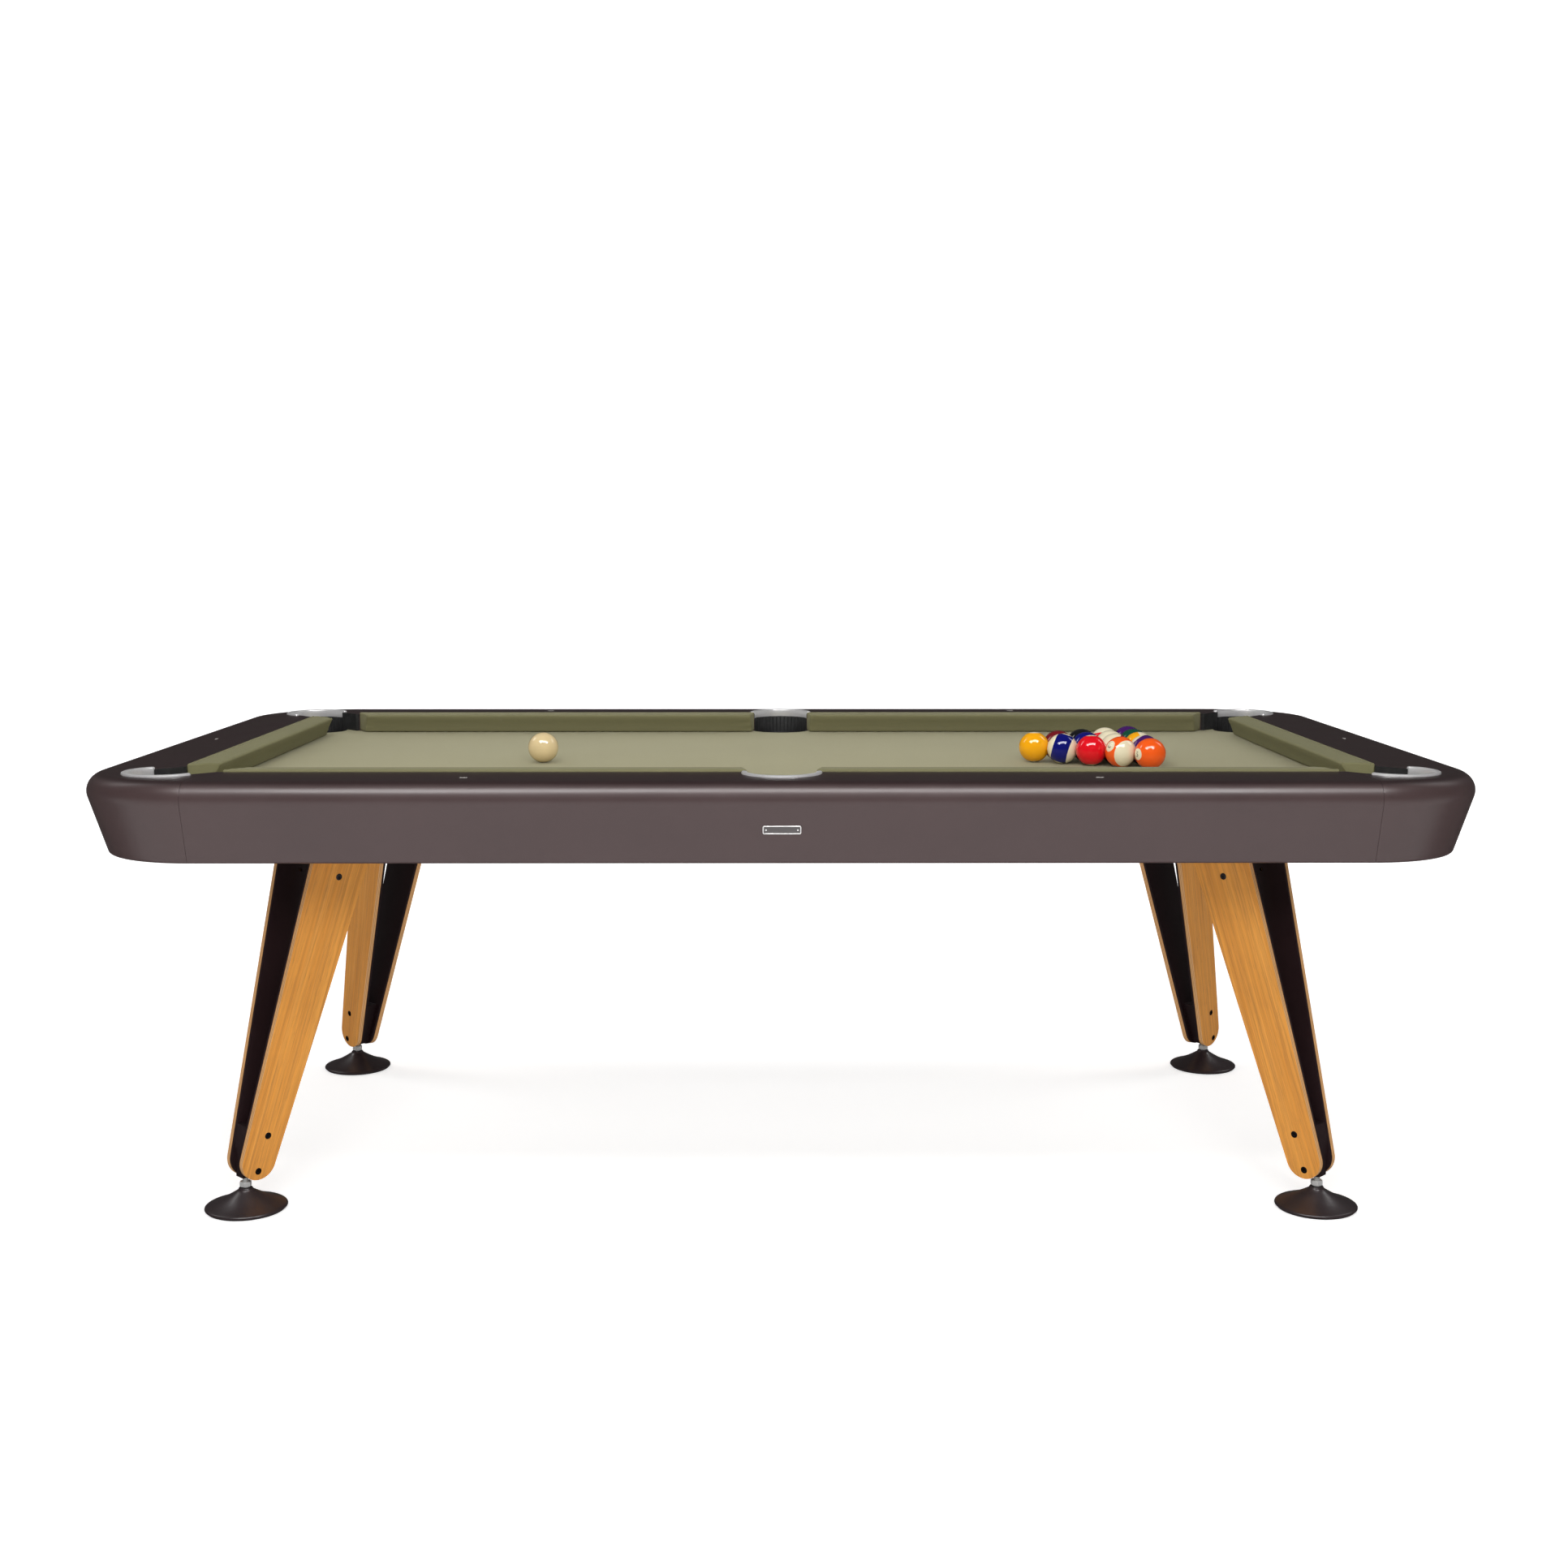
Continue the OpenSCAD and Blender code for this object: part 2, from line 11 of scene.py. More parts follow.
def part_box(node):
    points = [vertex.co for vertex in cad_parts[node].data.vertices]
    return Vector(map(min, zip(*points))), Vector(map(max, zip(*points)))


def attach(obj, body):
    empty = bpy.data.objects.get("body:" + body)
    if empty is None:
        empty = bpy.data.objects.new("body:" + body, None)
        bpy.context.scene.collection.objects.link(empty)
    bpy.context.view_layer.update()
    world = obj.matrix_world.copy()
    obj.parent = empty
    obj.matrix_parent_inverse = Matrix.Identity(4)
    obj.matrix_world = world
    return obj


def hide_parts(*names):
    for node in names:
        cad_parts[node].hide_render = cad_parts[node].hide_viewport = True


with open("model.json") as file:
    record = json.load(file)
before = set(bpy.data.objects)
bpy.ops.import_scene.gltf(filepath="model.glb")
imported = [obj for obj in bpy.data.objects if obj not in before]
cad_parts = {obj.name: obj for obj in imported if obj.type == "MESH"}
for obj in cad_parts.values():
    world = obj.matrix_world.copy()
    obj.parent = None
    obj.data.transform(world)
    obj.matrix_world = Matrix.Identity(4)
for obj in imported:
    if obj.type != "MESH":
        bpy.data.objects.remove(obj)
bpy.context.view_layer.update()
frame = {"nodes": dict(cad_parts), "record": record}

CORNERS = ("front_left", "front_right", "back_left", "back_right")
POCKETS = CORNERS + ("front_side", "back_side")


# ---- node helpers

def material(name, rough=0.5, metallic=0.0, specular=0.5, coat=0.0, coat_rough=0.1,
             sheen=0.0, sheen_rough=0.5):
    """A new node material; returns it with its tree and Principled shader."""
    m = bpy.data.materials.new(name)
    m.use_nodes = True
    tree = m.node_tree
    shader = tree.nodes["Principled BSDF"]
    for socket, value in (("Roughness", rough), ("Metallic", metallic),
                          ("Specular IOR Level", specular), ("Coat Weight", coat),
                          ("Coat Roughness", coat_rough), ("Sheen Weight", sheen),
                          ("Sheen Roughness", sheen_rough), ("IOR", 1.45)):
        shader.inputs[socket].default_value = value
    return m, tree, shader


def link(tree, a, b):
    tree.links.new(a, b)


def feed(tree, value, socket):
    """Links a socket into an input, or sets the input to a number, vector or colour."""
    if hasattr(value, "is_linked"):
        link(tree, value, socket)
    else:
        socket.default_value = (*value, 1) if socket.type == "RGBA" else value


def add(tree, kind, inputs=None, **properties):
    """A new node with these properties; inputs maps names to values or sockets."""
    n = tree.nodes.new(kind)
    for key, value in properties.items():
        setattr(n, key, value)
    for key, value in (inputs or {}).items():
        feed(tree, value, n.inputs[key])
    return n


def place(tree, scale=(1, 1, 1), attribute=None):
    """Coordinates in the object's own metres, or from a named vector attribute."""
    if attribute:
        source = add(tree, "ShaderNodeAttribute", attribute_name=attribute).outputs["Vector"]
    else:
        source = add(tree, "ShaderNodeTexCoord").outputs["Object"]
    return add(tree, "ShaderNodeMapping", {"Scale": scale, "Vector": source}).outputs["Vector"]


def noise_tex(tree, coords, scale, detail=4.0, rough=0.5, distortion=0.0):
    return add(tree, "ShaderNodeTexNoise",
               {"Scale": scale, "Detail": detail, "Roughness": rough,
                "Distortion": distortion, "Vector": coords}).outputs["Fac"]


def bands(tree, coords, direction, scale, distortion, detail, detail_scale):
    """Parallel bands bent by noise, for weave and growth rings."""
    return add(tree, "ShaderNodeTexWave",
               {"Scale": scale, "Distortion": distortion, "Detail": detail,
                "Detail Scale": detail_scale, "Vector": coords},
               wave_type="BANDS", bands_direction=direction).outputs["Fac"]


def shade(base, k):
    """The colour times k, at most white."""
    return tuple(min(1, c * k) for c in base)


def ramp(tree, fac, stops):
    """Colour ramp; stops are (position, colour) with colour a tuple or a grey."""
    n = tree.nodes.new("ShaderNodeValToRGB")
    elements = n.color_ramp.elements
    while len(elements) < len(stops):
        elements.new(0.5)
    for e, (position, colour) in zip(elements, stops):
        e.position = position
        e.color = (*colour, 1) if hasattr(colour, "__len__") else (colour,) * 3 + (1,)
    link(tree, fac, n.inputs["Fac"])
    return n.outputs["Color"]


def mix(tree, fac, a, b, blend="MIX"):
    """Colour mix; fac, a and b are sockets or constants."""
    n = add(tree, "ShaderNodeMix", data_type="RGBA", blend_type=blend)
    for value, socket in ((fac, n.inputs[0]), (a, n.inputs[6]), (b, n.inputs[7])):
        feed(tree, value, socket)
    return n.outputs[2]


def math_node(tree, operation, *values):
    n = add(tree, "ShaderNodeMath", operation=operation)
    for value, socket in zip(values, n.inputs):
        feed(tree, value, socket)
    return n.outputs[0]


def to_range(tree, fac, low, high):
    """Maps 0 to 1 onto low to high."""
    return add(tree, "ShaderNodeMapRange",
               {"To Min": low, "To Max": high, "Value": fac}).outputs["Result"]


def bump(tree, shader, height, strength, distance, before=None):
    """Bumps the shader's normal, on top of the bump node before if there is one."""
    n = add(tree, "ShaderNodeBump",
            {"Strength": strength, "Distance": distance, "Height": height})
    if before:
        link(tree, before.outputs["Normal"], n.inputs["Normal"])
    link(tree, n.outputs["Normal"], shader.inputs["Normal"])
    return n


# ---- materials

# Heights above the floor over which painted shade darkens the shell's lacquer towards the rail
# tops
PAINTED_SHADE_FROM, PAINTED_SHADE_TO = 0.7725, 0.7785
CREAM = (0.84, 0.76, 0.54)
# On a ball's own axes, how far along them its cap and its number spot begin
CAP_FROM, SPOT_FROM = 0.52, 0.925


def shell_lacquer(name, base):
    """Satin taupe-brown lacquer with a fine orange peel, faint clouding and painted shade on
    the rail tops.
    """
    m, tree, shader = material(name, rough=0.38, specular=0.5)
    coords = place(tree)
    cloud = noise_tex(tree, coords, 7, 5, 0.6)
    speck = noise_tex(tree, coords, 900, 2, 0.6)
    tone = mix(tree, cloud, shade(base, 0.88), shade(base, 1.12))
    tone = mix(tree, ramp(tree, speck, [(0.60, 0.0), (0.74, 0.22)]), tone, shade(base, 1.7))
    # painted shade: the flat rail tops are darkened below the aprons to stand in for their
    # lying in shade
    height = add(tree, "ShaderNodeSeparateXYZ", {"Vector": coords}).outputs["Z"]
    top = add(tree, "ShaderNodeMapRange",
              {"From Min": PAINTED_SHADE_FROM, "From Max": PAINTED_SHADE_TO, "Value": height},
              interpolation_type="SMOOTHSTEP")
    tone = mix(tree, top.outputs["Result"], tone,
               mix(tree, 1.0, tone, (0.52, 0.46, 0.48), "MULTIPLY"))
    link(tree, tone, shader.inputs["Base Color"])
    link(tree, to_range(tree, cloud, 0.30, 0.40), shader.inputs["Roughness"])
    peel = noise_tex(tree, coords, 260, 2, 0.5)
    first = bump(tree, shader, peel, 0.05, 0.0006)
    bump(tree, shader, speck, 0.06, 0.0002, first)
    return m


def cloth(name, base, along_x=True, sheen=0.25):
    """Worsted billiard cloth: fine twill, brushed nap and faint chalk clouding."""
    m, tree, shader = material(name, rough=0.92, specular=0.12, sheen=sheen, sheen_rough=0.35)
    shader.inputs["Sheen Tint"].default_value = (0.80, 0.78, 0.62, 1)
    coords = place(tree)
    along = (8, 220, 220) if along_x else (220, 8, 220)
    brushed = noise_tex(tree, place(tree, along), 1.0, 4, 0.6)
    cloud = noise_tex(tree, coords, 3.2, 4, 0.55)
    fibre = noise_tex(tree, coords, 2300, 3, 0.7)
    weave = bands(tree, coords, "DIAGONAL", 420, 1.2, 2, 1.5)
    tone = mix(tree, cloud, shade(base, 0.93), shade(base, 1.07))
    tone = mix(tree, brushed, mix(tree, 1.0, tone, (0.93, 0.93, 0.93), "MULTIPLY"), tone)
    tone = mix(tree, to_range(tree, fibre, 0.0, 0.35), tone,
               mix(tree, 1.0, tone, (0.72, 0.72, 0.70), "MULTIPLY"))
    chalk = ramp(tree, noise_tex(tree, coords, 11, 6, 0.75), [(0.62, 0.0), (0.80, 0.10)])
    tone = mix(tree, chalk, tone, (0.50, 0.51, 0.46))
    link(tree, tone, shader.inputs["Base Color"])
    first = bump(tree, shader, weave, 0.18, 0.0004)
    bump(tree, shader, fibre, 0.35, 0.0003, first)
    return m


def leg_wood():
    """Golden hardwood, grain along the board, with plywood stripes on its edges."""
    m, tree, shader = material("leg_wood", rough=0.48, specular=0.22, coat=0.05,
                               coat_rough=0.35)
    coords = place(tree, (1, 1, 1), "grain")
    warp = noise_tex(tree, place(tree, (9, 9, 1.6), "grain"), 1.0, 3, 0.5)
    # x runs across the board, z along it, y through its thickness
    fine = noise_tex(tree, place(tree, (420, 420, 5), "grain"), 1.0, 5, 0.62, 0.4)
    broad = noise_tex(tree, place(tree, (60, 60, 1.4), "grain"), 1.0, 4, 0.55, 1.2)
    pores = noise_tex(tree, place(tree, (1500, 1500, 30), "grain"), 1.0, 2, 0.6)
    rings = bands(tree, place(tree, (1, 1, 0.09), "grain"), "X", 26, 5.5, 3, 0.5)
    tone = ramp(tree, broad, [(0.25, (0.54, 0.200, 0.026)), (0.52, (0.66, 0.270, 0.040)),
                              (0.80, (0.74, 0.330, 0.060))])
    tone = mix(tree, to_range(tree, rings, 0.0, 0.26), tone, (0.36, 0.145, 0.032))
    tone = mix(tree, ramp(tree, fine, [(0.36, 0.55), (0.52, 0.0)]), tone, (0.32, 0.125, 0.030))
    tone = mix(tree, ramp(tree, pores, [(0.30, 0.65), (0.40, 0.0)]), tone, (0.20, 0.09, 0.03))
    tone = mix(tree, to_range(tree, warp, 0.0, 0.18), tone, (0.78, 0.40, 0.10))
    # plywood layers show where the attribute ply_edge is 1
    edge = add(tree, "ShaderNodeAttribute", attribute_name="ply_edge").outputs["Fac"]
    depth = add(tree, "ShaderNodeSeparateXYZ", {"Vector": coords}).outputs["Y"]
    layers_per_metre = 300
    layers = math_node(tree, "FRACT", math_node(tree, "MULTIPLY", depth, layers_per_metre))
    stripe = ramp(tree, layers, [(0.0, (0.70, 0.46, 0.24)), (0.48, (0.66, 0.42, 0.21)),
                                 (0.54, (0.30, 0.15, 0.07)), (0.96, (0.34, 0.18, 0.08)),
                                 (1.0, (0.70, 0.46, 0.24))])
    tone = mix(tree, edge, tone, mix(tree, 0.35, stripe, tone))
    link(tree, tone, shader.inputs["Base Color"])
    link(tree, to_range(tree, fine, 0.40, 0.60), shader.inputs["Roughness"])
    first = bump(tree, shader, fine, 0.22, 0.0004)
    bump(tree, shader, pores, 0.25, 0.0003, first)
    return m


def powder_coat(name, base, rough=0.42, grain=650, coat=0.0):
    """Fine-textured powder coat with slight tonal drift."""
    m, tree, shader = material(name, rough=rough, specular=0.45, coat=coat, coat_rough=0.25)
    coords = place(tree)
    drift = noise_tex(tree, coords, 14, 4, 0.6)
    tone = mix(tree, drift, shade(base, 0.82), shade(base, 1.2))
    link(tree, tone, shader.inputs["Base Color"])
    texture = noise_tex(tree, coords, grain, 3, 0.55)
    link(tree, to_range(tree, texture, rough - 0.06, rough + 0.08), shader.inputs["Roughness"])
    bump(tree, shader, texture, 0.14, 0.0003)
    return m


def metal(name, base, rough, brushed=(1, 1, 1), scale=300.0, metallic=1.0):
    """Metal with smudges and fine brushing along the axis where brushed is small."""
    m, tree, shader = material(name, rough=rough, metallic=metallic)
    lines = noise_tex(tree, place(tree, brushed), scale, 4, 0.6)
    marks = noise_tex(tree, place(tree), 30, 5, 0.65)
    tone = mix(tree, lines, shade(base, 0.88), shade(base, 1.06))
    link(tree, tone, shader.inputs["Base Color"])
    link(tree, to_range(tree, marks, rough, rough + 0.08), shader.inputs["Roughness"])
    bump(tree, shader, lines, 0.05, 0.0002)
    return m


def rubber(name):
    """Dusty black rubber with a leathery grain."""
    m, tree, shader = material(name, rough=0.62, specular=0.35)
    coords = place(tree)
    dust = ramp(tree, noise_tex(tree, coords, 45, 5, 0.65), [(0.45, 0.0), (0.75, 0.5)])
    tone = mix(tree, dust, (0.012, 0.012, 0.012), (0.0368, 0.0368, 0.0368))
    link(tree, tone, shader.inputs["Base Color"])
    leather = add(tree, "ShaderNodeTexVoronoi", {"Scale": 420, "Vector": coords},
                  feature="DISTANCE_TO_EDGE")
    bump(tree, shader, leather.outputs["Distance"], 0.35, 0.0006)
    return m


def slate_stone():
    """Dark veined stone with a fine grit."""
    m, tree, shader = material("slate", rough=0.7, specular=0.3)
    coords = place(tree)
    veins = noise_tex(tree, coords, 9, 7, 0.65, 1.5)
    grit = noise_tex(tree, coords, 500, 3, 0.6)
    tone = ramp(tree, veins, [(0.3, (0.035, 0.038, 0.042)), (0.6, (0.060, 0.064, 0.070)),
                              (0.8, (0.10, 0.105, 0.11))])
    link(tree, tone, shader.inputs["Base Color"])
    bump(tree, shader, grit, 0.25, 0.0004)
    return m


def frame_timber():
    """Rough softwood with a few knots, grain along x."""
    m, tree, shader = material("frame_timber", rough=0.75, specular=0.2)
    grain = noise_tex(tree, place(tree, (2, 60, 60)), 1.0, 6, 0.65, 1.0)
    knots = noise_tex(tree, place(tree), 4, 3, 0.5)
    tone = ramp(tree, grain, [(0.25, (0.20, 0.12, 0.055)), (0.55, (0.36, 0.24, 0.12)),
                              (0.8, (0.46, 0.33, 0.18))])
    tone = mix(tree, ramp(tree, knots, [(0.66, 0.0), (0.72, 0.7)]), tone, (0.12, 0.065, 0.03))
    link(tree, tone, shader.inputs["Base Color"])
    bump(tree, shader, grain, 0.3, 0.0008)
    return m


def resin(name, base, rough):
    """Polished phenolic resin with faint swirl and handling marks."""
    m, tree, shader = material(name, rough=rough, specular=0.5, coat=0.5, coat_rough=0.03)
    coords = place(tree)
    swirl = noise_tex(tree, coords, 38, 4, 0.6, 1.0)
    marks = noise_tex(tree, coords, 190, 5, 0.7)
    tone = mix(tree, swirl, shade(base, 0.92), shade(base, 1.06))
    link(tree, tone, shader.inputs["Base Color"])
    link(tree, to_range(tree, marks, rough * 0.7, rough * 2.2), shader.inputs["Roughness"])
    return m


SHELL = shell_lacquer("shell_lacquer", (0.056, 0.0345, 0.0345))
BED_CLOTH = cloth("bed_cloth", (0.335, 0.312, 0.186))
# painted shade: the cushion cloths are darker copies of the bed cloth, standing in for the
# shade on the cushions' faces; the end cushions' cloth is darker still
SHADED_RAIL_CLOTH = cloth("cushion_cloth", (0.215, 0.203, 0.108), sheen=0.1)
SHADED_END_CLOTH = cloth("end_cushion_cloth", (0.205, 0.195, 0.100), along_x=False, sheen=0.05)
LEG_WOOD = leg_wood()
LEG_STEEL = powder_coat("leg_steel", (0.018, 0.0080, 0.0090), rough=0.42)
FOOT_PAINT = powder_coat("foot_paint", (0.030, 0.020, 0.022), rough=0.36, coat=0.3)
CHROME = metal("pocket_trim", (0.80, 0.79, 0.79), 0.28, metallic=0.5)
ZINC = metal("zinc", (0.70, 0.70, 0.68), 0.28, scale=180)
STEM = metal("stem_steel", (0.80, 0.80, 0.79), 0.26, scale=160, metallic=0.55)
BLACK_STEEL = metal("dark_screws", (0.045, 0.04, 0.04), 0.35)
PLATE = metal("plate_metal", (0.74, 0.73, 0.72), 0.3, brushed=(0.05, 1, 1), scale=900)
PLATE_FIELD = metal("plate_field", (0.15, 0.14, 0.14), 0.5, brushed=(0.05, 1, 1), scale=900)
LINER = rubber("pocket_liner")
SLATE = slate_stone()
TIMBER = frame_timber()
SIGHT = resin("sight_inlay", (0.60, 0.58, 0.54), 0.2)


# ---- mesh helpers

def new_object(name, mesh, mat, smooth=True):
    o = bpy.data.objects.new(name, mesh)
    bpy.context.scene.collection.objects.link(o)
    if mat:
        o.data.materials.append(mat)
    for p in o.data.polygons:
        p.use_smooth = smooth
    return o


def mesh_from(bm, name):
    """A named mesh from an edit mesh, which is freed."""
    mesh = bpy.data.meshes.new(name)
    bm.to_mesh(mesh)
    bm.free()
    return mesh


def apply_all(o):
    """Bakes the object's modifiers into its mesh."""
    depsgraph = bpy.context.evaluated_depsgraph_get()
    mesh = bpy.data.meshes.new_from_object(o.evaluated_get(depsgraph))
    old = o.data
    o.modifiers.clear()
    o.data = mesh
    bpy.data.meshes.remove(old)


def body_of(node):
    for body, members in frame["record"]["behaviour"]["bodies"].items():
        if node in members:
            return body
    raise KeyError(node)


def stand_for(o, node):
    """Shows o in place of a CAD node, on the same body."""
    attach(o, body_of(node))
    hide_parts(node)


def finish_cad(node, mat):
    """Gives a CAD node that stays its finished material."""
    o = frame["nodes"][node]
    o.data.materials.clear()
    o.data.materials.append(mat)


def softened(node, mat, width, segments=3, angle=35):
    """A copy of a CAD node with its sharp edges rounded, shown in its place."""
    source = frame["nodes"][node]
    bm = bmesh.new()
    bm.from_mesh(source.data)
    bmesh.ops.remove_doubles(bm, verts=bm.verts, dist=1e-5)
    bmesh.ops.dissolve_limit(bm, angle_limit=radians(0.6), verts=bm.verts, edges=bm.edges)
    o = new_object(node + "_finished", mesh_from(bm, node + "_finished"), mat)
    b = o.modifiers.new("edges", "BEVEL")
    b.width = width
    b.segments = segments
    b.limit_method = "ANGLE"
    b.angle_limit = radians(angle)
    b.harden_normals = True
    w = o.modifiers.new("normals", "WEIGHTED_NORMAL")
    w.keep_sharp = True
    apply_all(o)
    stand_for(o, node)
    return o


# ---- camera, light, floor

def camera():
    """The photo's view: 3.7 m in front of the table's middle, slightly down."""
    data = bpy.data.cameras.new("camera")
    data.sensor_width = 36
    data.lens = 44.16
    cam = bpy.data.objects.new("camera", data)
    bpy.context.scene.collection.objects.link(cam)
    cam.location = (-0.0083, -3.7101, 1.1655)
    pitch = 0.1271
    yaw = 0.0038
    cam.rotation_euler = (pi / 2 - pitch, 0, -yaw)
    bpy.context.scene.camera = cam


def area_light(name, place_at, aim, size, power, glossy=True, diffuse=True):
    data = bpy.data.lights.new(name, "AREA")
    data.shape = "RECTANGLE"
    data.size, data.size_y = size
    data.energy = power
    o = bpy.data.objects.new(name, data)
    bpy.context.scene.collection.objects.link(o)
    o.location = place_at
    o.rotation_euler = (Vector(aim) - Vector(place_at)).to_track_quat("-Z", "Y").to_euler()
    o.visible_glossy = glossy
    o.visible_diffuse = diffuse


def studio():
    """White floor, pale sweep and walls, an overhead strip light and soft fills."""
    bpy.context.scene.view_settings.view_transform = "Standard"
    # half width, the floor's two ends, where the sweep bends, its radius, the walls' height
    side, front, split, back, bend, rise = 16.0, -14.0, -0.75, 6.0, 3.0, 9.0
    steps = 24
    floor = [(front, 0.0), (split, 0.0)]
    sweep = [(split, 0.0)]
    sweep += [(back + bend * sin(pi / 2 * i / steps),
               bend * (1 - cos(pi / 2 * i / steps))) for i in range(steps + 1)]
    sweep.append((back + bend, rise))
    paints = []
    for paint, grey, glow in (("studio_white", 0.72, 0.62), ("studio_pale", 0.45, 0.40)):
        m, _, shader = material(paint, rough=0.95, specular=0.0)
        shader.inputs["Base Color"].default_value = (grey, grey, grey, 1)
        shader.inputs["Emission Color"].default_value = (1, 1, 1, 1)
        shader.inputs["Emission Strength"].default_value = glow
        paints.append(m)
    corners = ((-side, back + bend), (-side, front), (side, front), (side, back + bend))
    for name, rows in (("studio_floor", [[(-side, y, z), (side, y, z)] for y, z in floor]),
                       ("studio_sweep", [[(-side, y, z), (side, y, z)] for y, z in sweep]),
                       ("studio_walls", [[(x, y, 0), (x, y, rise)] for x, y in corners])):
        bm = bmesh.new()
        rows = [[bm.verts.new(p) for p in row] for row in rows]
        for p, q in zip(rows, rows[1:]):
            bm.faces.new((p[0], p[1], q[1], q[0]))
        o = new_object(name, mesh_from(bm, name), paints[name == "studio_walls"])
        # rail tops mirror a dark studio, not its lit sweep and walls
        o.visible_glossy = name == "studio_floor"
    world = bpy.data.worlds.new("world")
    world.use_nodes = True
    background = world.node_tree.nodes["Background"]
    background.inputs["Color"].default_value = (1, 0.98, 0.97, 1)
    background.inputs["Strength"].default_value = 0.05
    bpy.context.scene.world = world
    area_light("strip", (0, -1.9, 3.2), (0, -0.70, 0.75), (3.6, 0.8), 135, diffuse=False)
    area_light("soft_top", (-0.7, -0.9, 3.1), (-0.1, -0.1, 0.75), (2.2, 1.3), 22, glossy=False)
    area_light("front", (0, -4.2, 2.5), (0, 0, 0.5), (3.0, 1.0), 84, glossy=False)
    area_light("sweep_left", (-5.0, 2.0, 5.0), (-3, 9, 1.5), (3, 3), 240)
    area_light("sweep_right", (5.0, 2.0, 5.0), (3, 9, 1.5), (3, 3), 240)
    area_light("spark_left", (-1.1, -2.3, 2.9), (0.0, 0, 0.75), (0.22, 0.22), 12)
    area_light("spark_right", (1.3, -2.3, 2.9), (0.2, 0, 0.75), (0.22, 0.22), 12)


camera()
studio()


# ---- building surfaces

def skin(name, rows, mat, ring=True, loop=False, caps=True, sharp=35, weld=0.0):
    """Quads between rows of points; ring closes each row, loop joins last row to first."""
    bm = bmesh.new()
    verts = [[bm.verts.new(p) for p in row] for row in rows]
    n = len(verts[0])
    for a, b in zip(verts, verts[1:] + (verts[:1] if loop else [])):
        for i in range(n if ring else n - 1):
            j = (i + 1) % n
            bm.faces.new((a[i], a[j], b[j], b[i]))
    if caps and not loop:
        bm.faces.new(verts[0][::-1])
        bm.faces.new(verts[-1])
    if weld:
        bmesh.ops.remove_doubles(bm, verts=bm.verts, dist=weld)
    bmesh.ops.recalc_face_normals(bm, faces=bm.faces)
    mesh = mesh_from(bm, name)
    o = new_object(name, mesh, mat)
    mesh.set_sharp_from_angle(angle=radians(sharp))
    return o


def lathe(name, profile, centre, mat, steps, wave=None):
    """Turns (radius, z) points about a vertical axis; wave(angle, i) scales the radius."""
    rows = []
    for k in range(steps):
        a = 2 * pi * k / steps
        row = []
        for i, (r, z) in enumerate(profile):
            r *= wave(a, i) if wave else 1
            row.append((centre[0] + r * cos(a), centre[1] + r * sin(a), z))
        rows.append(row)
    return skin(name, rows, mat, ring=False, loop=True, caps=False, weld=2e-6)


def arc(cx, cy, r, start, end, steps):
    """Points along an arc, angles in degrees."""
    return [(cx + r * cos(radians(start + (end - start) * i / steps)),
             cy + r * sin(radians(start + (end - start) * i / steps)))
            for i in range(steps + 1)]


def hexagon(angle, corner):
    """Radius at this angle of a hexagon whose corners are this far out."""
    within = (angle + pi / 6) % (pi / 3) - pi / 6
    return corner * cos(pi / 6) / cos(within)


def join(name, parts):
    """Joins objects into the first one and renames it."""
    with bpy.context.temp_override(active_object=parts[0], selected_editable_objects=parts):
        bpy.ops.object.join()
    parts[0].name = name
    parts[0].data.name = name
    return parts[0]


# ---- shell and frame

for node in ("front_panel", "back_panel", "left_panel", "right_panel"):
    softened(node, SHELL, 0.0006, segments=2)
for c in CORNERS:
    softened("corner_panel_" + c, SHELL, 0.0006, segments=2)
finish_cad("slate_bed", SLATE)
for node in ("bearer_left", "bearer_right", "beam_front", "beam_back", "beam_middle"):
    finish_cad(node, TIMBER)
finish_cad("leg_flange_bolts", ZINC)
finish_cad("rail_bolts", ZINC)
finish_cad("rail_sights", SIGHT)

RAIL_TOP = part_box("front_panel")[1].z
BED_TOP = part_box("bed_cloth")[1].z
BED_X, BED_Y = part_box("bed_cloth")[1].xy
NOSE_X = -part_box("cushion_left_end")[1].x
NOSE_Y = -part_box("cushion_front_left")[1].y
CUSHION_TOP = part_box("cushion_left_end")[1].z


def middle(node):
    low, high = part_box(node)
    return (low + high) / 2


# Pocket centre and the direction its mouth faces, in degrees; the hole's radius in the bed
POCKET_AT = {}
for p in POCKETS:
    m = middle("pocket_cup_" + p)
    if p.endswith("side"):
        mouth = 90 if p.startswith("front") else -90
    else:
        mouth = {"front_left": 45, "front_right": 135, "back_left": -45, "back_right": -135}[p]
    POCKET_AT[p] = (m.x, m.y, mouth)
HOLE_R = 0.060


# ---- bed cloth

def bed_outline():
    """Edge of the cloth as pairs: a point on a pocket bite, and the way into the cloth."""
    points = []
    for p in ("front_left", "front_side", "front_right", "back_right", "back_side",
              "back_left"):
        x, y, mouth = POCKET_AT[p]
        # the bite ends where the circle leaves the bed's straight edges
        on_long = degrees(asin((BED_Y - abs(y)) / HOLE_R))
        if p.endswith("side"):
            start, end = mouth + 90 + on_long, mouth - 90 - on_long
        else:
            on_end = degrees(acos((BED_X - abs(x)) / HOLE_R))
            start, end = {
                "front_left": (180 - on_end, -on_long),
                "front_right": (180 + on_long, on_end),
                "back_right": (360 - on_end, 180 - on_long),
                "back_left": (on_long, -180 + on_end),
            }[p]
        for px, py in arc(x, y, HOLE_R, start, end, 40):
            away = Vector((px - x, py - y)).normalized()
            points.append((Vector((px, py)), away))
    return points


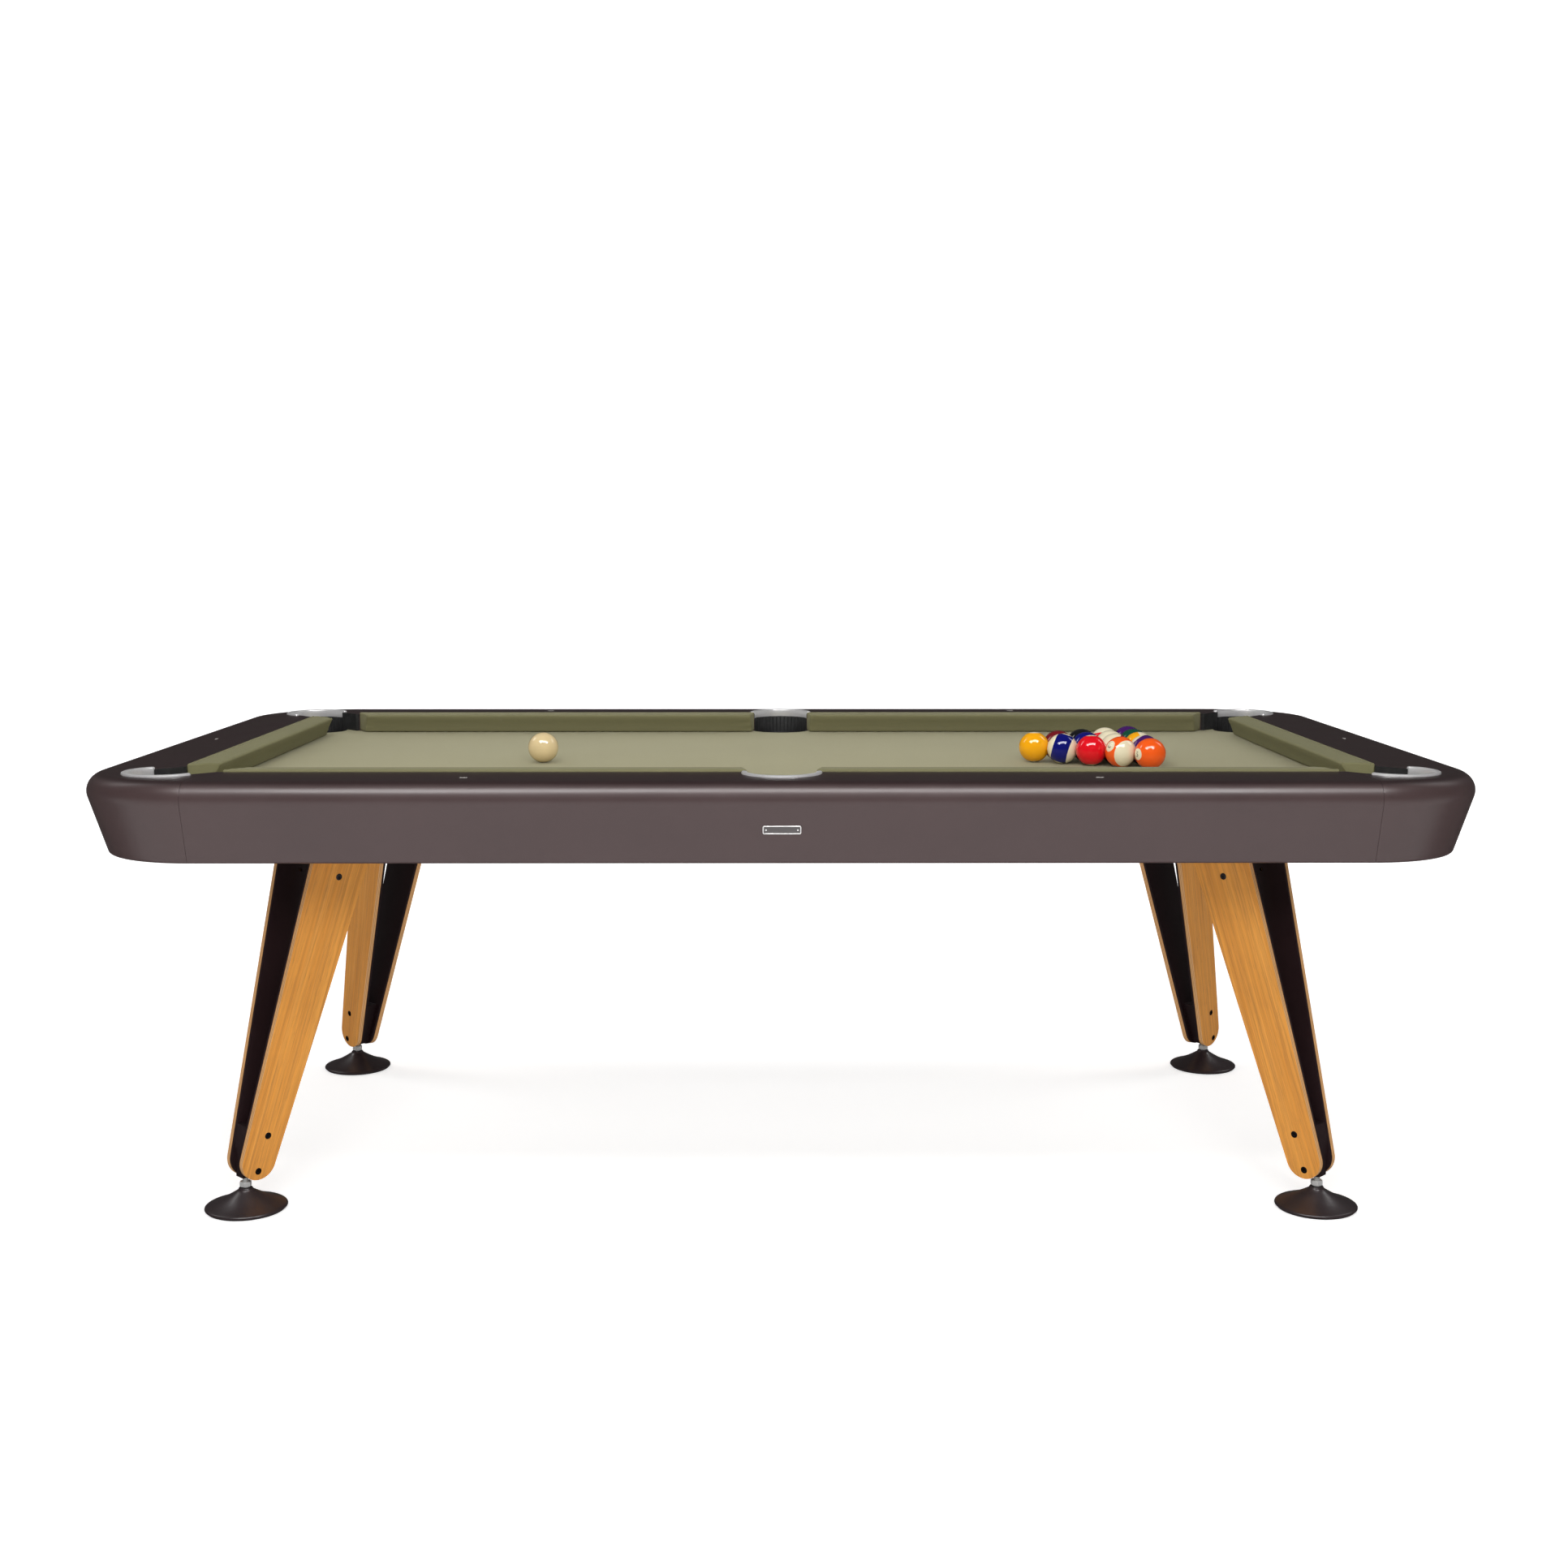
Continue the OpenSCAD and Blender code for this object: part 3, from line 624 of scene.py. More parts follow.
def make_bed_cloth():
    """Cloth stretched over the slate and rolled over its edge at each pocket."""
    outline = bed_outline()
    n = len(outline)
    # (offset into the cloth, drop) down the rolled edge
    roll = [(0.0045, 0.0), (0.0026, 0.0003), (0.0012, 0.0012), (0.0004, 0.0026),
            (0.0, 0.0048), (0.0, 0.0100)]
    bm = bmesh.new()
    rings = []
    for inset, drop in roll:
        rings.append([bm.verts.new((*(p + away * inset), BED_TOP - drop))
                      for p, away in outline])
    for a, b in zip(rings, rings[1:]):
        for i in range(n):
            j = (i + 1) % n
            bm.faces.new((a[i], b[i], b[j], a[j]))
    edges = [bm.edges.get((rings[0][i], rings[0][(i + 1) % n])) for i in range(n)]
    bmesh.ops.triangle_fill(bm, edges=edges, use_beauty=True, normal=(0, 0, 1))
    bmesh.ops.recalc_face_normals(bm, faces=bm.faces)
    top = max(bm.faces, key=lambda f: f.calc_area())
    if top.normal.z < 0:
        bmesh.ops.reverse_faces(bm, faces=bm.faces)
    mesh = mesh_from(bm, "bed_cloth_sheet")
    o = new_object("bed_cloth_sheet", mesh, BED_CLOTH)
    mesh.set_sharp_from_angle(angle=radians(60))
    stand_for(o, "bed_cloth")


make_bed_cloth()


# ---- cushions

def cushion_profile():
    """(depth from the nose, height over the cloth) round the cloth-covered section."""
    top = CUSHION_TOP - BED_TOP
    nose = 0.0363
    toe_depth, toe_height = 0.0142, 0.0032
    points = [(0.0496, 0.0030), (0.0492, 0.0014), (0.0478, 0.0010), (0.0300, 0.0010),
              (0.0170, 0.0010), (0.0152, 0.0015), (toe_depth, toe_height)]
    # undercut face, drawn slightly hollow between its ends
    for i in range(1, 9):
        t = i / 9
        points.append((toe_depth + (0.0011 - toe_depth) * t + 0.0011 * sin(pi * t),
                       toe_height + (nose - 0.0048 - toe_height) * t))
    r = 0.0040
    for a in range(200, 79, -15):
        points.append((r + r * cos(radians(a)),
                       nose - 0.0006 + r * sin(radians(a)) * 0.92))
    # crowned top up to the rail, with a tucked line where the cloth meets the rail strip
    for i in range(1, 9):
        t = i / 9
        z = nose + 0.0031 + (top - 0.0003 - nose - 0.0031) * sin(t * pi / 2)
        points.append((0.0047 + 0.0370 * t, z))
    points += [(0.0425, top - 0.0006), (0.0434, top - 0.0016), (0.0443, top - 0.0006),
               (0.0462, top - 0.0001), (0.0480, top - 0.0005), (0.0491, top - 0.0016),
               (0.0496, top - 0.0034), (0.0497, 0.0220)]
    return points


def make_cushion(node, a, b, run_a, run_b, put, mat, seed):
    """Cushion from a to b along the nose, its ends running back by run_a and run_b.

    put(along, depth, height) gives the point.
    """
    profile = cushion_profile()
    n = len(profile)
    depth = 0.050
    centre = (sum(d for d, z in profile) / n, sum(z for d, z in profile) / n)
    # (distance in from the end, inward offset of the section) at each rounded end
    end_round = [(0.0000, 0.0026), (0.0003, 0.0014), (0.0010, 0.0006), (0.0022, 0.0001)]
    spans = [0.0036 + 0.0028 * i for i in range(14)]
    inmost = spans[-1]
    # (distance, offset, zone): from a in zones 0 and 1 (its end, the middle), from b in 2
    stations = [(e, off, 0) for e, off in end_round] + [(e, 0.0, 0) for e in spans]
    length = b - a
    clear = 2 * (inmost + 0.01)
    count = max(8, int((length - clear) / 0.03))
    stations += [(inmost + 0.005 + (length - clear) * i / count, 0.0, 1)
                 for i in range(count + 1)]
    stations += [(e, 0.0, 2) for e in spans[::-1]]
    stations += [(e, off, 2) for e, off in end_round[::-1]]
    rows = []
    for distance, offset, zone in stations:
        row = []
        for i, (d, z) in enumerate(profile):
            before, after = profile[i - 1], profile[(i + 1) % n]
            tangent = Vector((after[0] - before[0], after[1] - before[1])).normalized()
            outward = Vector((-tangent.y, tangent.x))
            if outward.dot(Vector((d - centre[0], z - centre[1]))) < 0:
                outward = -outward
            # folds where the cloth is drawn round the end
            fold = 0.0
            if zone != 1 and 5 <= i <= 34:
                reach = exp(-distance / 0.016)
                side = noise(Vector((i * 0.55, seed * 3.7 + zone, distance * 25)))
                fold = 0.0016 * reach * side - 0.0005 * reach
            ease = 0.00012 * noise(Vector((distance * 9 + seed * 5, i * 0.4, 0)))
            move = outward * (fold + ease - offset)
            dd, zz = d + move.x, z + move.y
            start = a - run_a * dd / depth
            finish = b + run_b * dd / depth
            if zone == 0:
                s = start + distance
            elif zone == 2:
                s = finish - distance
            else:
                t = (distance - inmost) / (length - 2 * inmost)
                s = start + inmost + (finish - start - 2 * inmost) * t
            row.append(put(s, dd, BED_TOP + zz))
        rows.append(row)
    o = skin(node + "_cover", rows, mat, sharp=55)
    stand_for(o, node)


# How far a nose stops before the field's corner or a side pocket's middle, and how far
# its end runs back
CORNER_GAP, SIDE_GAP, CORNER_RUN, SIDE_RUN = 0.062, 0.066, 0.028, 0.008
for seed, (side, sy) in enumerate((("front", -1), ("back", 1))):
    for k, (end, sx) in enumerate((("left", -1), ("right", 1))):
        make_cushion(f"cushion_{side}_{end}", -NOSE_X + CORNER_GAP, -SIDE_GAP, CORNER_RUN,
                     SIDE_RUN,
                     lambda s, d, z, sx=sx, sy=sy: (-sx * s, sy * (NOSE_Y + d), z),
                     SHADED_RAIL_CLOTH, 2 * seed + k)
for k, (end, sx) in enumerate((("left", -1), ("right", 1))):
    make_cushion(f"cushion_{end}_end", -NOSE_Y + CORNER_GAP, NOSE_Y - CORNER_GAP, CORNER_RUN,
                 CORNER_RUN, lambda s, d, z, sx=sx: (sx * (NOSE_X + d), s, z),
                 SHADED_END_CLOTH, 5 + k)


# ---- pockets

def make_liner(p):
    """Rubber drop pocket: ribbed bowl, and a collar left open on the mouth's side."""
    x, y, mouth = POCKET_AT[p]
    low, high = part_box("pocket_cup_" + p)
    outer = (high.x - low.x) / 2
    inner = outer - 0.0027
    lip = BED_TOP - 0.0085
    ribs = 40

    def wave(angle, i):
        return 1 - (0.012 * max(0.0, cos(ribs * angle)) ** 3 if 8 <= i <= 13 else 0)

    z0 = low.z
    bowl = [(0.0, z0), (outer - 0.006, z0), (outer - 0.002, z0 + 0.0015),
            (outer, z0 + 0.006), (outer, lip - 0.0015), (outer - 0.0008, lip),
            (inner + 0.0008, lip), (inner, lip - 0.0012), (inner, lip - 0.003),
            (inner, lip - 0.020), (inner, z0 + 0.030), (inner - 0.001, z0 + 0.016),
            (inner - 0.005, z0 + 0.008), (inner - 0.012, z0 + 0.0050),
            (0.036, z0 + 0.0038), (0.0352, z0 + 0.0030), (0.030, z0 + 0.0030),
            (0.0292, z0 + 0.0038), (0.016, z0 + 0.0036), (0.0152, z0 + 0.0028),
            (0.0, z0 + 0.0028)]
    parts = [lathe(f"pocket_liner_{p}", bowl, (x, y), LINER, steps=240, wave=wave)]
    half = 90 if p.endswith("side") else 84
    steps = 200
    start, end = mouth + half, mouth + 360 - half
    rows = []
    for k in range(steps + 1):
        a = radians(start + (end - start) * k / steps)
        ease = min(k, steps - k) / 4
        thin = 1.0 if ease >= 1 else 0.35 + 0.65 * sin(ease * pi / 2)
        mid = (outer + inner) / 2
        rib = 0.0007 * max(0.0, cos(ribs * a)) ** 3
        top = high.z - (1 - thin) * 0.004
        section = [(mid + (outer - mid) * thin, lip - 0.001),
                   (mid + (outer - mid) * thin, top - 0.0008),
                   (mid + (outer - mid) * thin * 0.6, top),
                   (mid - (mid - inner) * thin * 0.6, top),
                   (mid - (mid - inner) * thin - rib, top - 0.0008),
                   (mid - (mid - inner) * thin - rib, lip - 0.001)]
        rows.append([(x + r * cos(a), y + r * sin(a), z) for r, z in section])
    parts.append(skin("collar", rows, LINER))
    if not p.endswith("side"):
        # wings that line the mouth through the rail and turn onto its inner face
        axis = Matrix.Translation((x, y, 0)) @ Matrix.Rotation(radians(mouth), 4, "Z")
        for sv in (-1, 1):
            outline = [(0.012, 0.0548), (0.0692, 0.0548), (0.0728, 0.0584),
                       (0.0738, 0.0574), (0.0708, 0.0544), (0.0702, 0.0534),
                       (0.0696, 0.0528), (0.030, 0.0528), (0.020, 0.0531), (0.012, 0.0545)]
            core = 0.0538
            rows = []
            for z, k in ((BED_TOP - 0.006, 1.0), (RAIL_TOP - 0.0008, 1.0),
                         (RAIL_TOP - 0.0001, 0.985), (RAIL_TOP, 0.96)):
                rows.append([axis @ Vector((u, sv * (core + (v - core) * k), z))
                             for u, v in outline])
            parts.append(skin("wing", rows, LINER))
    o = join(f"pocket_liner_{p}", parts)
    stand_for(o, "pocket_cup_" + p)


def make_trim(p):
    """Polished horseshoe with a crowned flange, round ends and an inner skirt."""
    x, y, mouth = POCKET_AT[p]
    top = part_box("pocket_trim_" + p)[1].z
    half = 85 if p.endswith("side") else 75
    mid, width, lip = 0.062, 0.010, 0.0025
    steps, tip_steps = 180, 8
    start, end = mouth + half, mouth + 360 - half
    # the round ends take up this much of the turn
    tip = degrees(width / 2 / mid)
    eased = [tip * (1 - cos(pi / 2 * i / tip_steps)) for i in range(tip_steps)]
    angles = [start + e for e in eased]
    angles += [start + tip + (end - start - 2 * tip) * i / steps for i in range(steps + 1)]
    angles += [end - e for e in eased[::-1]]
    rows = []
    for angle in angles:
        edge = min(angle - start, end - angle)
        k = 1.0 if edge >= tip else sqrt(max(0.0, 1 - (1 - edge / tip) ** 2))
        k = max(k, 0.04)
        w = width / 2 * k
        h = 0.0040 * (0.55 + 0.45 * k)
        a = radians(angle)
        section = [(mid + w, RAIL_TOP + 0.0001)]
        for i in range(7):
            t = pi * i / 6
            # soft crown across the flange, fuller at its outer edge
            section.append((mid + w * cos(t) * (1 - 0.04 * sin(t)),
                            RAIL_TOP + 0.0006 * k + (h - 0.0006 * k) * sin(t) ** 0.55))
        section += [(mid - w, RAIL_TOP - 0.006 * k), (mid - w + 0.0004, RAIL_TOP - 0.0118 * k),
                    (mid - w + lip * k, RAIL_TOP - 0.0118 * k), (mid - w + lip * k, RAIL_TOP)]
        rows.append([(x + r * cos(a), y + r * sin(a), min(z, top))
                     for r, z in section])
    o = skin(f"pocket_trim_{p}_polished", rows, CHROME, sharp=40)
    stand_for(o, "pocket_trim_" + p)


for p in POCKETS:
    make_liner(p)
    make_trim(p)


# ---- legs

FOOT = middle("foot_pad_front_left").xy
FOOT_X, FOOT_Y = abs(FOOT.x), abs(FOOT.y)
# Each board's tilt from the leg's middle, and how far the leg runs in per metre of height
SPREAD = radians(3.98)
LEAN = 0.31
# Leg screws in a board's frame: the face they sit on, place across it, and heights
SCREW_FACE, SCREW_ACROSS = -0.0203, -0.0136
SCREW_SHIFT = {"inner": 0.003, "outer": -0.009}
SCREW_HEIGHTS = (0.071, 0.132, 0.578)


def leg_matrix(c):
    """From the leg's own frame (x towards the table's middle) to the row frame."""
    sx = 1 if c.endswith("left") else -1
    sy = 1 if c.startswith("front") else -1
    return (Matrix.Diagonal((sx, sy, 1, 1)) @ Matrix.Translation((-FOOT_X, -FOOT_Y, 0))
            @ Matrix.Rotation(radians(45), 4, "Z"))


def board_matrix(c, side):
    """From a board's frame (y through its thickness, z up it) to the row frame."""
    flip = Matrix.Diagonal((1, -1 if side == "outer" else 1, 1, 1))
    return leg_matrix(c) @ flip @ Matrix.Rotation(SPREAD, 4, "X")


for k, c in enumerate(CORNERS):
    for j, side in enumerate(("inner", "outer")):
        node = f"leg_board_{side}_{c}"
        o = softened(node, LEG_WOOD, 0.0012)
        mesh = o.data
        back = board_matrix(c, side).inverted()
        grain = mesh.attributes.new("grain", "FLOAT_VECTOR", "POINT")
        shift = Vector((3.1 * k + 1.7 * j, 0.0, 5.3 * k + 2.9 * j))
        for i, v in enumerate(mesh.vertices):
            q = back @ v.co
            grain.data[i].vector = Vector((q.x - LEAN * q.z, q.y, q.z)) + shift
        edge = mesh.attributes.new("ply_edge", "FLOAT", "FACE")
        across = (back.inverted().to_3x3() @ Vector((0, 1, 0))).normalized()
        for i, f in enumerate(mesh.polygons):
            edge.data[i].value = 1.0 if abs(f.normal.dot(across)) < 0.72 else 0.0
    softened("leg_bracket_" + c, LEG_STEEL, 0.0009, segments=2, angle=40)


def screw_head(radius, socket, height, depth):
    """Rows of points round a domed head with a hexagon socket, seated at z = 0."""
    steps = 48
    profile = [(radius, -depth), (radius, 0.0), (radius * 0.96, height * 0.45),
               (radius * 0.82, height * 0.8), (radius * 0.62, height),
               (socket * 1.12, height)]
    rows = [[(r * cos(2 * pi * i / steps), r * sin(2 * pi * i / steps), z)
             for i in range(steps)] for r, z in profile]
    for z in (height - 0.0003, height - 0.0022):
        ring = []
        for i in range(steps):
            a = 2 * pi * i / steps
            r = hexagon(a, socket)
            ring.append((r * cos(a), r * sin(a), z))
        rows.append(ring)
    return rows


def make_leg_screws():
    """Hexagon socket screws in both boards of every leg."""
    rows = screw_head(0.0059, 0.0026, 0.0004, 0.0036)
    parts = []
    for c in CORNERS:
        for side, shift in SCREW_SHIFT.items():
            for z in SCREW_HEIGHTS:
                at = Vector((SCREW_ACROSS + LEAN * z + shift, SCREW_FACE, z))
                m = (board_matrix(c, side) @ Matrix.Translation(at)
                     @ Matrix.Rotation(pi / 2, 4, "X"))
                parts.append(skin(f"screw_{len(parts)}",
                                  [[m @ Vector(p) for p in row] for row in rows],
                                  BLACK_STEEL, sharp=30))
    o = join("leg_screws_socket", parts)
    stand_for(o, "leg_screws")


make_leg_screws()


# ---- feet

# The stem's thread: pitch, inner and outer radius, height above the floor of its start
PITCH, CORE, CREST, THREAD_FROM = 0.00175, 0.0042, 0.0050, 0.034


def make_foot(c):
    """Painted cone on a rubber sole."""
    low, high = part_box("foot_pad_" + c)
    mid = (low + high) / 2
    r = (high.x - low.x) / 2
    # slightly hollow, with a rolled rim and a raised boss
    cone = [(r - 0.004, 0.0022), (r - 0.0012, 0.0024), (r - 0.0002, 0.0034), (r, 0.0046),
            (r - 0.0006, 0.0060), (r - 0.0020, 0.0070), (r - 0.0042, 0.0078)]
    for i in range(1, 15):
        t = i / 15
        rr = (r - 0.0042) + (0.0150 - r + 0.0042) * t
        cone.append((rr, 0.0078 + 0.0252 * t - 0.0022 * sin(pi * t)))
    cone += [(0.0138, 0.0338), (0.0128, 0.0350), (0.0122, 0.0366), (0.0114, 0.0377),
             (0.0104, 0.0380), (0.0062, 0.0380), (0.0056, 0.0374), (0.0053, 0.0360),
             (0.0053, 0.0200), (0.0, 0.0200)]
    o = lathe(f"foot_cone_{c}", [(0.0, 0.0022)] + cone, mid.xy, FOOT_PAINT, steps=160)
    stand_for(o, "foot_pad_" + c)
    sole = [(0.0, 0.0), (r - 0.0060, 0.0), (r - 0.0032, 0.0003), (r - 0.0024, 0.0012),
            (r - 0.0024, 0.0025), (0.0, 0.0025)]
    ring = lathe(f"foot_sole_{c}", sole, mid.xy, LINER, steps=160)
    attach(ring, body_of("foot_pad_" + c))


def make_stem(c):
    """Threaded stem with a hexagon to turn it by."""
    low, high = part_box("foot_stem_" + c)
    mid = (low + high) / 2
    steps, top = 28, high.z
    thread_to = top - 0.001
    levels = []
    z = low.z
    while z < top - 1e-6:
        levels.append(z)
        z += 0.002 if z < THREAD_FROM else PITCH / 6
    rows = []
    for z in levels + [top]:
        row = []
        for i in range(steps):
            a = 2 * pi * i / steps
            if THREAD_FROM < z < thread_to:
                phase = (z / PITCH - a / (2 * pi)) % 1.0
                tri = 1 - abs(2 * phase - 1)
                rr = CORE + (CREST - CORE) * min(1.0, max(0.0, 1.35 * tri - 0.1))
            else:
                rr = CORE if z >= thread_to else CREST - 0.0001
            row.append((mid.x + rr * cos(a), mid.y + rr * sin(a), z))
        rows.append(row)
    parts = [skin("thread", rows, STEM, sharp=50)]
    corner, steps = 0.0105, 48
    chamfered = corner * cos(pi / 6) * 1.01
    hexes = []
    for z, limit in ((0.0400, chamfered), (0.0409, corner), (0.0481, corner),
                     (0.0490, chamfered)):
        row = []
        for i in range(steps):
            a = 2 * pi * i / steps
            rr = min(hexagon(a, corner), limit)
            row.append((mid.x + rr * cos(a), mid.y + rr * sin(a), z))
        hexes.append(row)
    parts.append(skin("hexagon", hexes, STEM, sharp=25))
    stem = join(f"foot_stem_{c}_threaded", parts)
    stand_for(stem, "foot_stem_" + c)


for c in CORNERS:
    make_foot(c)
    make_stem(c)


# ---- nameplate

def make_nameplate():
    """Blank satin plate with a sunk field, a raised border and two small rivets."""
    low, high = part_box("nameplate")
    mid = (low + high) / 2
    w, h, t = 0.062, 0.015, 0.0015
    lean = radians(17.5)
    # the plate's back lies on the apron, which its box's front gives
    face_y = low.y + h / 2 * sin(lean) + t * cos(lean)
    frame_of = (Matrix.Translation((0, face_y, mid.z + t / 2 * sin(lean)))
                @ Matrix.Rotation(pi / 2 + lean, 4, "X"))

    def rounded(w, h, r, z):
        steps = 8
        ring = []
        for k, (sx, sy) in enumerate(((1, 1), (-1, 1), (-1, -1), (1, -1))):
            for i in range(steps + 1):
                a = radians(90 * k + 90 * i / steps)
                ring.append(frame_of @ Vector((sx * (w / 2 - r) + r * cos(a),
                                               sy * (h / 2 - r) + r * sin(a), z)))
        return ring

    rows = [rounded(w, h, 0.003, 0.0), rounded(w, h, 0.003, t - 0.0004),
            rounded(w - 0.0004, h - 0.0004, 0.0028, t - 0.0001),
            rounded(w - 0.0010, h - 0.0010, 0.0026, t),
            rounded(w - 0.0032, h - 0.0032, 0.0016, t),
            rounded(w - 0.0038, h - 0.0038, 0.0013, t - 0.0006)]
    plate = skin("plate", rows, PLATE, sharp=35)
    plate.data.materials.append(PLATE_FIELD)
    plate.data.polygons[len(plate.data.polygons) - 1].material_index = 1
    parts = [plate]
    for sx in (-1, 1):
        rivet = []
        for r, z in ((0.0016, t - 0.0008), (0.0015, t - 0.0002), (0.0011, t - 0.00002),
                     (0.0005, t)):
            rivet.append([frame_of @ Vector((sx * 0.0255 + r * cos(2 * pi * i / 24),
                                             r * sin(2 * pi * i / 24), z))
                          for i in range(24)])
        parts.append(skin("rivet", rivet, PLATE, sharp=35))
    o = join("nameplate_blank", parts)
    stand_for(o, "nameplate")


make_nameplate()


# ---- balls

def ball_resin():
    """Polished resin whose colour, band and number spots come from mesh attributes."""
    m, tree, shader = material("pool_ball_resin", rough=0.07, coat=0.2, coat_rough=0.03)
    tint = add(tree, "ShaderNodeAttribute", attribute_name="ball_colour").outputs["Vector"]
    way = add(tree, "ShaderNodeAttribute", attribute_name="ball_way").outputs["Vector"]
    striped = add(tree, "ShaderNodeAttribute", attribute_name="ball_striped").outputs["Fac"]
    axes = add(tree, "ShaderNodeSeparateXYZ", {"Vector": way})
    up = math_node(tree, "ABSOLUTE", axes.outputs["Z"])
    side = math_node(tree, "ABSOLUTE", axes.outputs["X"])
    cap = math_node(tree, "MULTIPLY", math_node(tree, "GREATER_THAN", up, CAP_FROM), striped)
    spot = math_node(tree, "GREATER_THAN", side, SPOT_FROM)
    swirl = noise_tex(tree, place(tree), 60, 4, 0.6, 1.0)
    tone = mix(tree, cap, tint, CREAM)
    tone = mix(tree, spot, tone, CREAM)
    tone = mix(tree, to_range(tree, swirl, 0.0, 0.12), tone,
               mix(tree, 1.0, tone, (0.75, 0.75, 0.75), "MULTIPLY"))
    link(tree, tone, shader.inputs["Base Color"])
    marks = noise_tex(tree, place(tree), 210, 5, 0.7)
    link(tree, to_range(tree, marks, 0.05, 0.13), shader.inputs["Roughness"])
    return m


BALL_RESIN = ball_resin()
BALL_INK = resin("ball_number_ink", (0.012, 0.012, 0.014), 0.12)
CUE_RESIN = resin("cue_ball_resin", (0.74, 0.58, 0.32), 0.07)


def ball_mesh(name, centre, radius, turn, divisions=20):
    """Sphere from a cube's grid, with its own directions kept as an attribute."""
    bm = bmesh.new()
    seen = {}

    def vert(p):
        key = tuple(round(c, 5) for c in p)
        if key not in seen:
            seen[key] = bm.verts.new(p)
        return seen[key]

    for axis in range(3):
        for sign in (-1, 1):
            grid = []
            for i in range(divisions + 1):
                line = []
                for j in range(divisions + 1):
                    u = tan(pi / 4 * (2 * i / divisions - 1))
                    v = tan(pi / 4 * (2 * j / divisions - 1))
                    p = [0, 0, 0]
                    p[axis], p[(axis + 1) % 3], p[(axis + 2) % 3] = sign, u, v
                    line.append(vert(Vector(p).normalized()))
                grid.append(line)
            for i in range(divisions):
                for j in range(divisions):
                    f = [grid[i][j], grid[i + 1][j], grid[i + 1][j + 1], grid[i][j + 1]]
                    bm.faces.new(f if sign > 0 else f[::-1])
    mesh = mesh_from(bm, name)
    way = mesh.attributes.new("ball_way", "FLOAT_VECTOR", "POINT")
    for i, v in enumerate(mesh.vertices):
        way.data[i].vector = v.co.copy()
        v.co = centre + (turn @ v.co) * radius
    return mesh


def number_mesh(name, number, centre, radius, turn, flip):
    """The number in plain digits, laid on the ball's surface over one of its spots."""
    curve = bpy.data.curves.new(name, "FONT")
    curve.body = str(number)
    curve.align_x = "CENTER"
    curve.align_y = "CENTER"
    curve.size = 0.0135 if number < 10 else 0.0115
    curve.fill_mode = "FRONT"
    text = bpy.data.objects.new(name, curve)
    bpy.context.scene.collection.objects.link(text)
    depsgraph = bpy.context.evaluated_depsgraph_get()
    mesh = bpy.data.meshes.new_from_object(text.evaluated_get(depsgraph))
    bpy.data.objects.remove(text)
    bpy.data.curves.remove(curve)
    bm = bmesh.new()
    bm.from_mesh(mesh)
    bmesh.ops.remove_doubles(bm, verts=bm.verts, dist=1e-6)
    xs = [v.co.x for v in bm.verts]
    ys = [v.co.y for v in bm.verts]
    cx, cy = (min(xs) + max(xs)) / 2, (min(ys) + max(ys)) / 2
    for v in bm.verts:
        u, w = v.co.x - cx, v.co.y - cy
        local = Vector((sqrt(max(0.0, radius * radius - u * u - w * w)), u, w)) / radius
        if flip:
            local = Vector((-local.x, -local.y, local.z))
        v.co = centre + (turn @ local) * (radius + 0.00006)
    bm.to_mesh(mesh)
    bm.free()
    return new_object(name, mesh, BALL_INK, smooth=False)


COLOURS = {1: (0.95, 0.42, 0.006), 2: (0.004, 0.006, 0.16), 3: (0.78, 0.006, 0.016),
           4: (0.060, 0.010, 0.13), 5: (0.95, 0.115, 0.012), 6: (0.006, 0.075, 0.040),
           7: (0.18, 0.008, 0.014), 8: (0.008, 0.008, 0.009)}


def turn_of(spot, cap):
    """Rotation that faces a ball's number spot and its cap these ways (x right, -y front)."""
    z = Vector(cap).normalized()
    x = Vector(spot)
    x = (x - z * x.dot(z)).normalized()
    return Matrix((x, z.cross(x), z)).transposed()


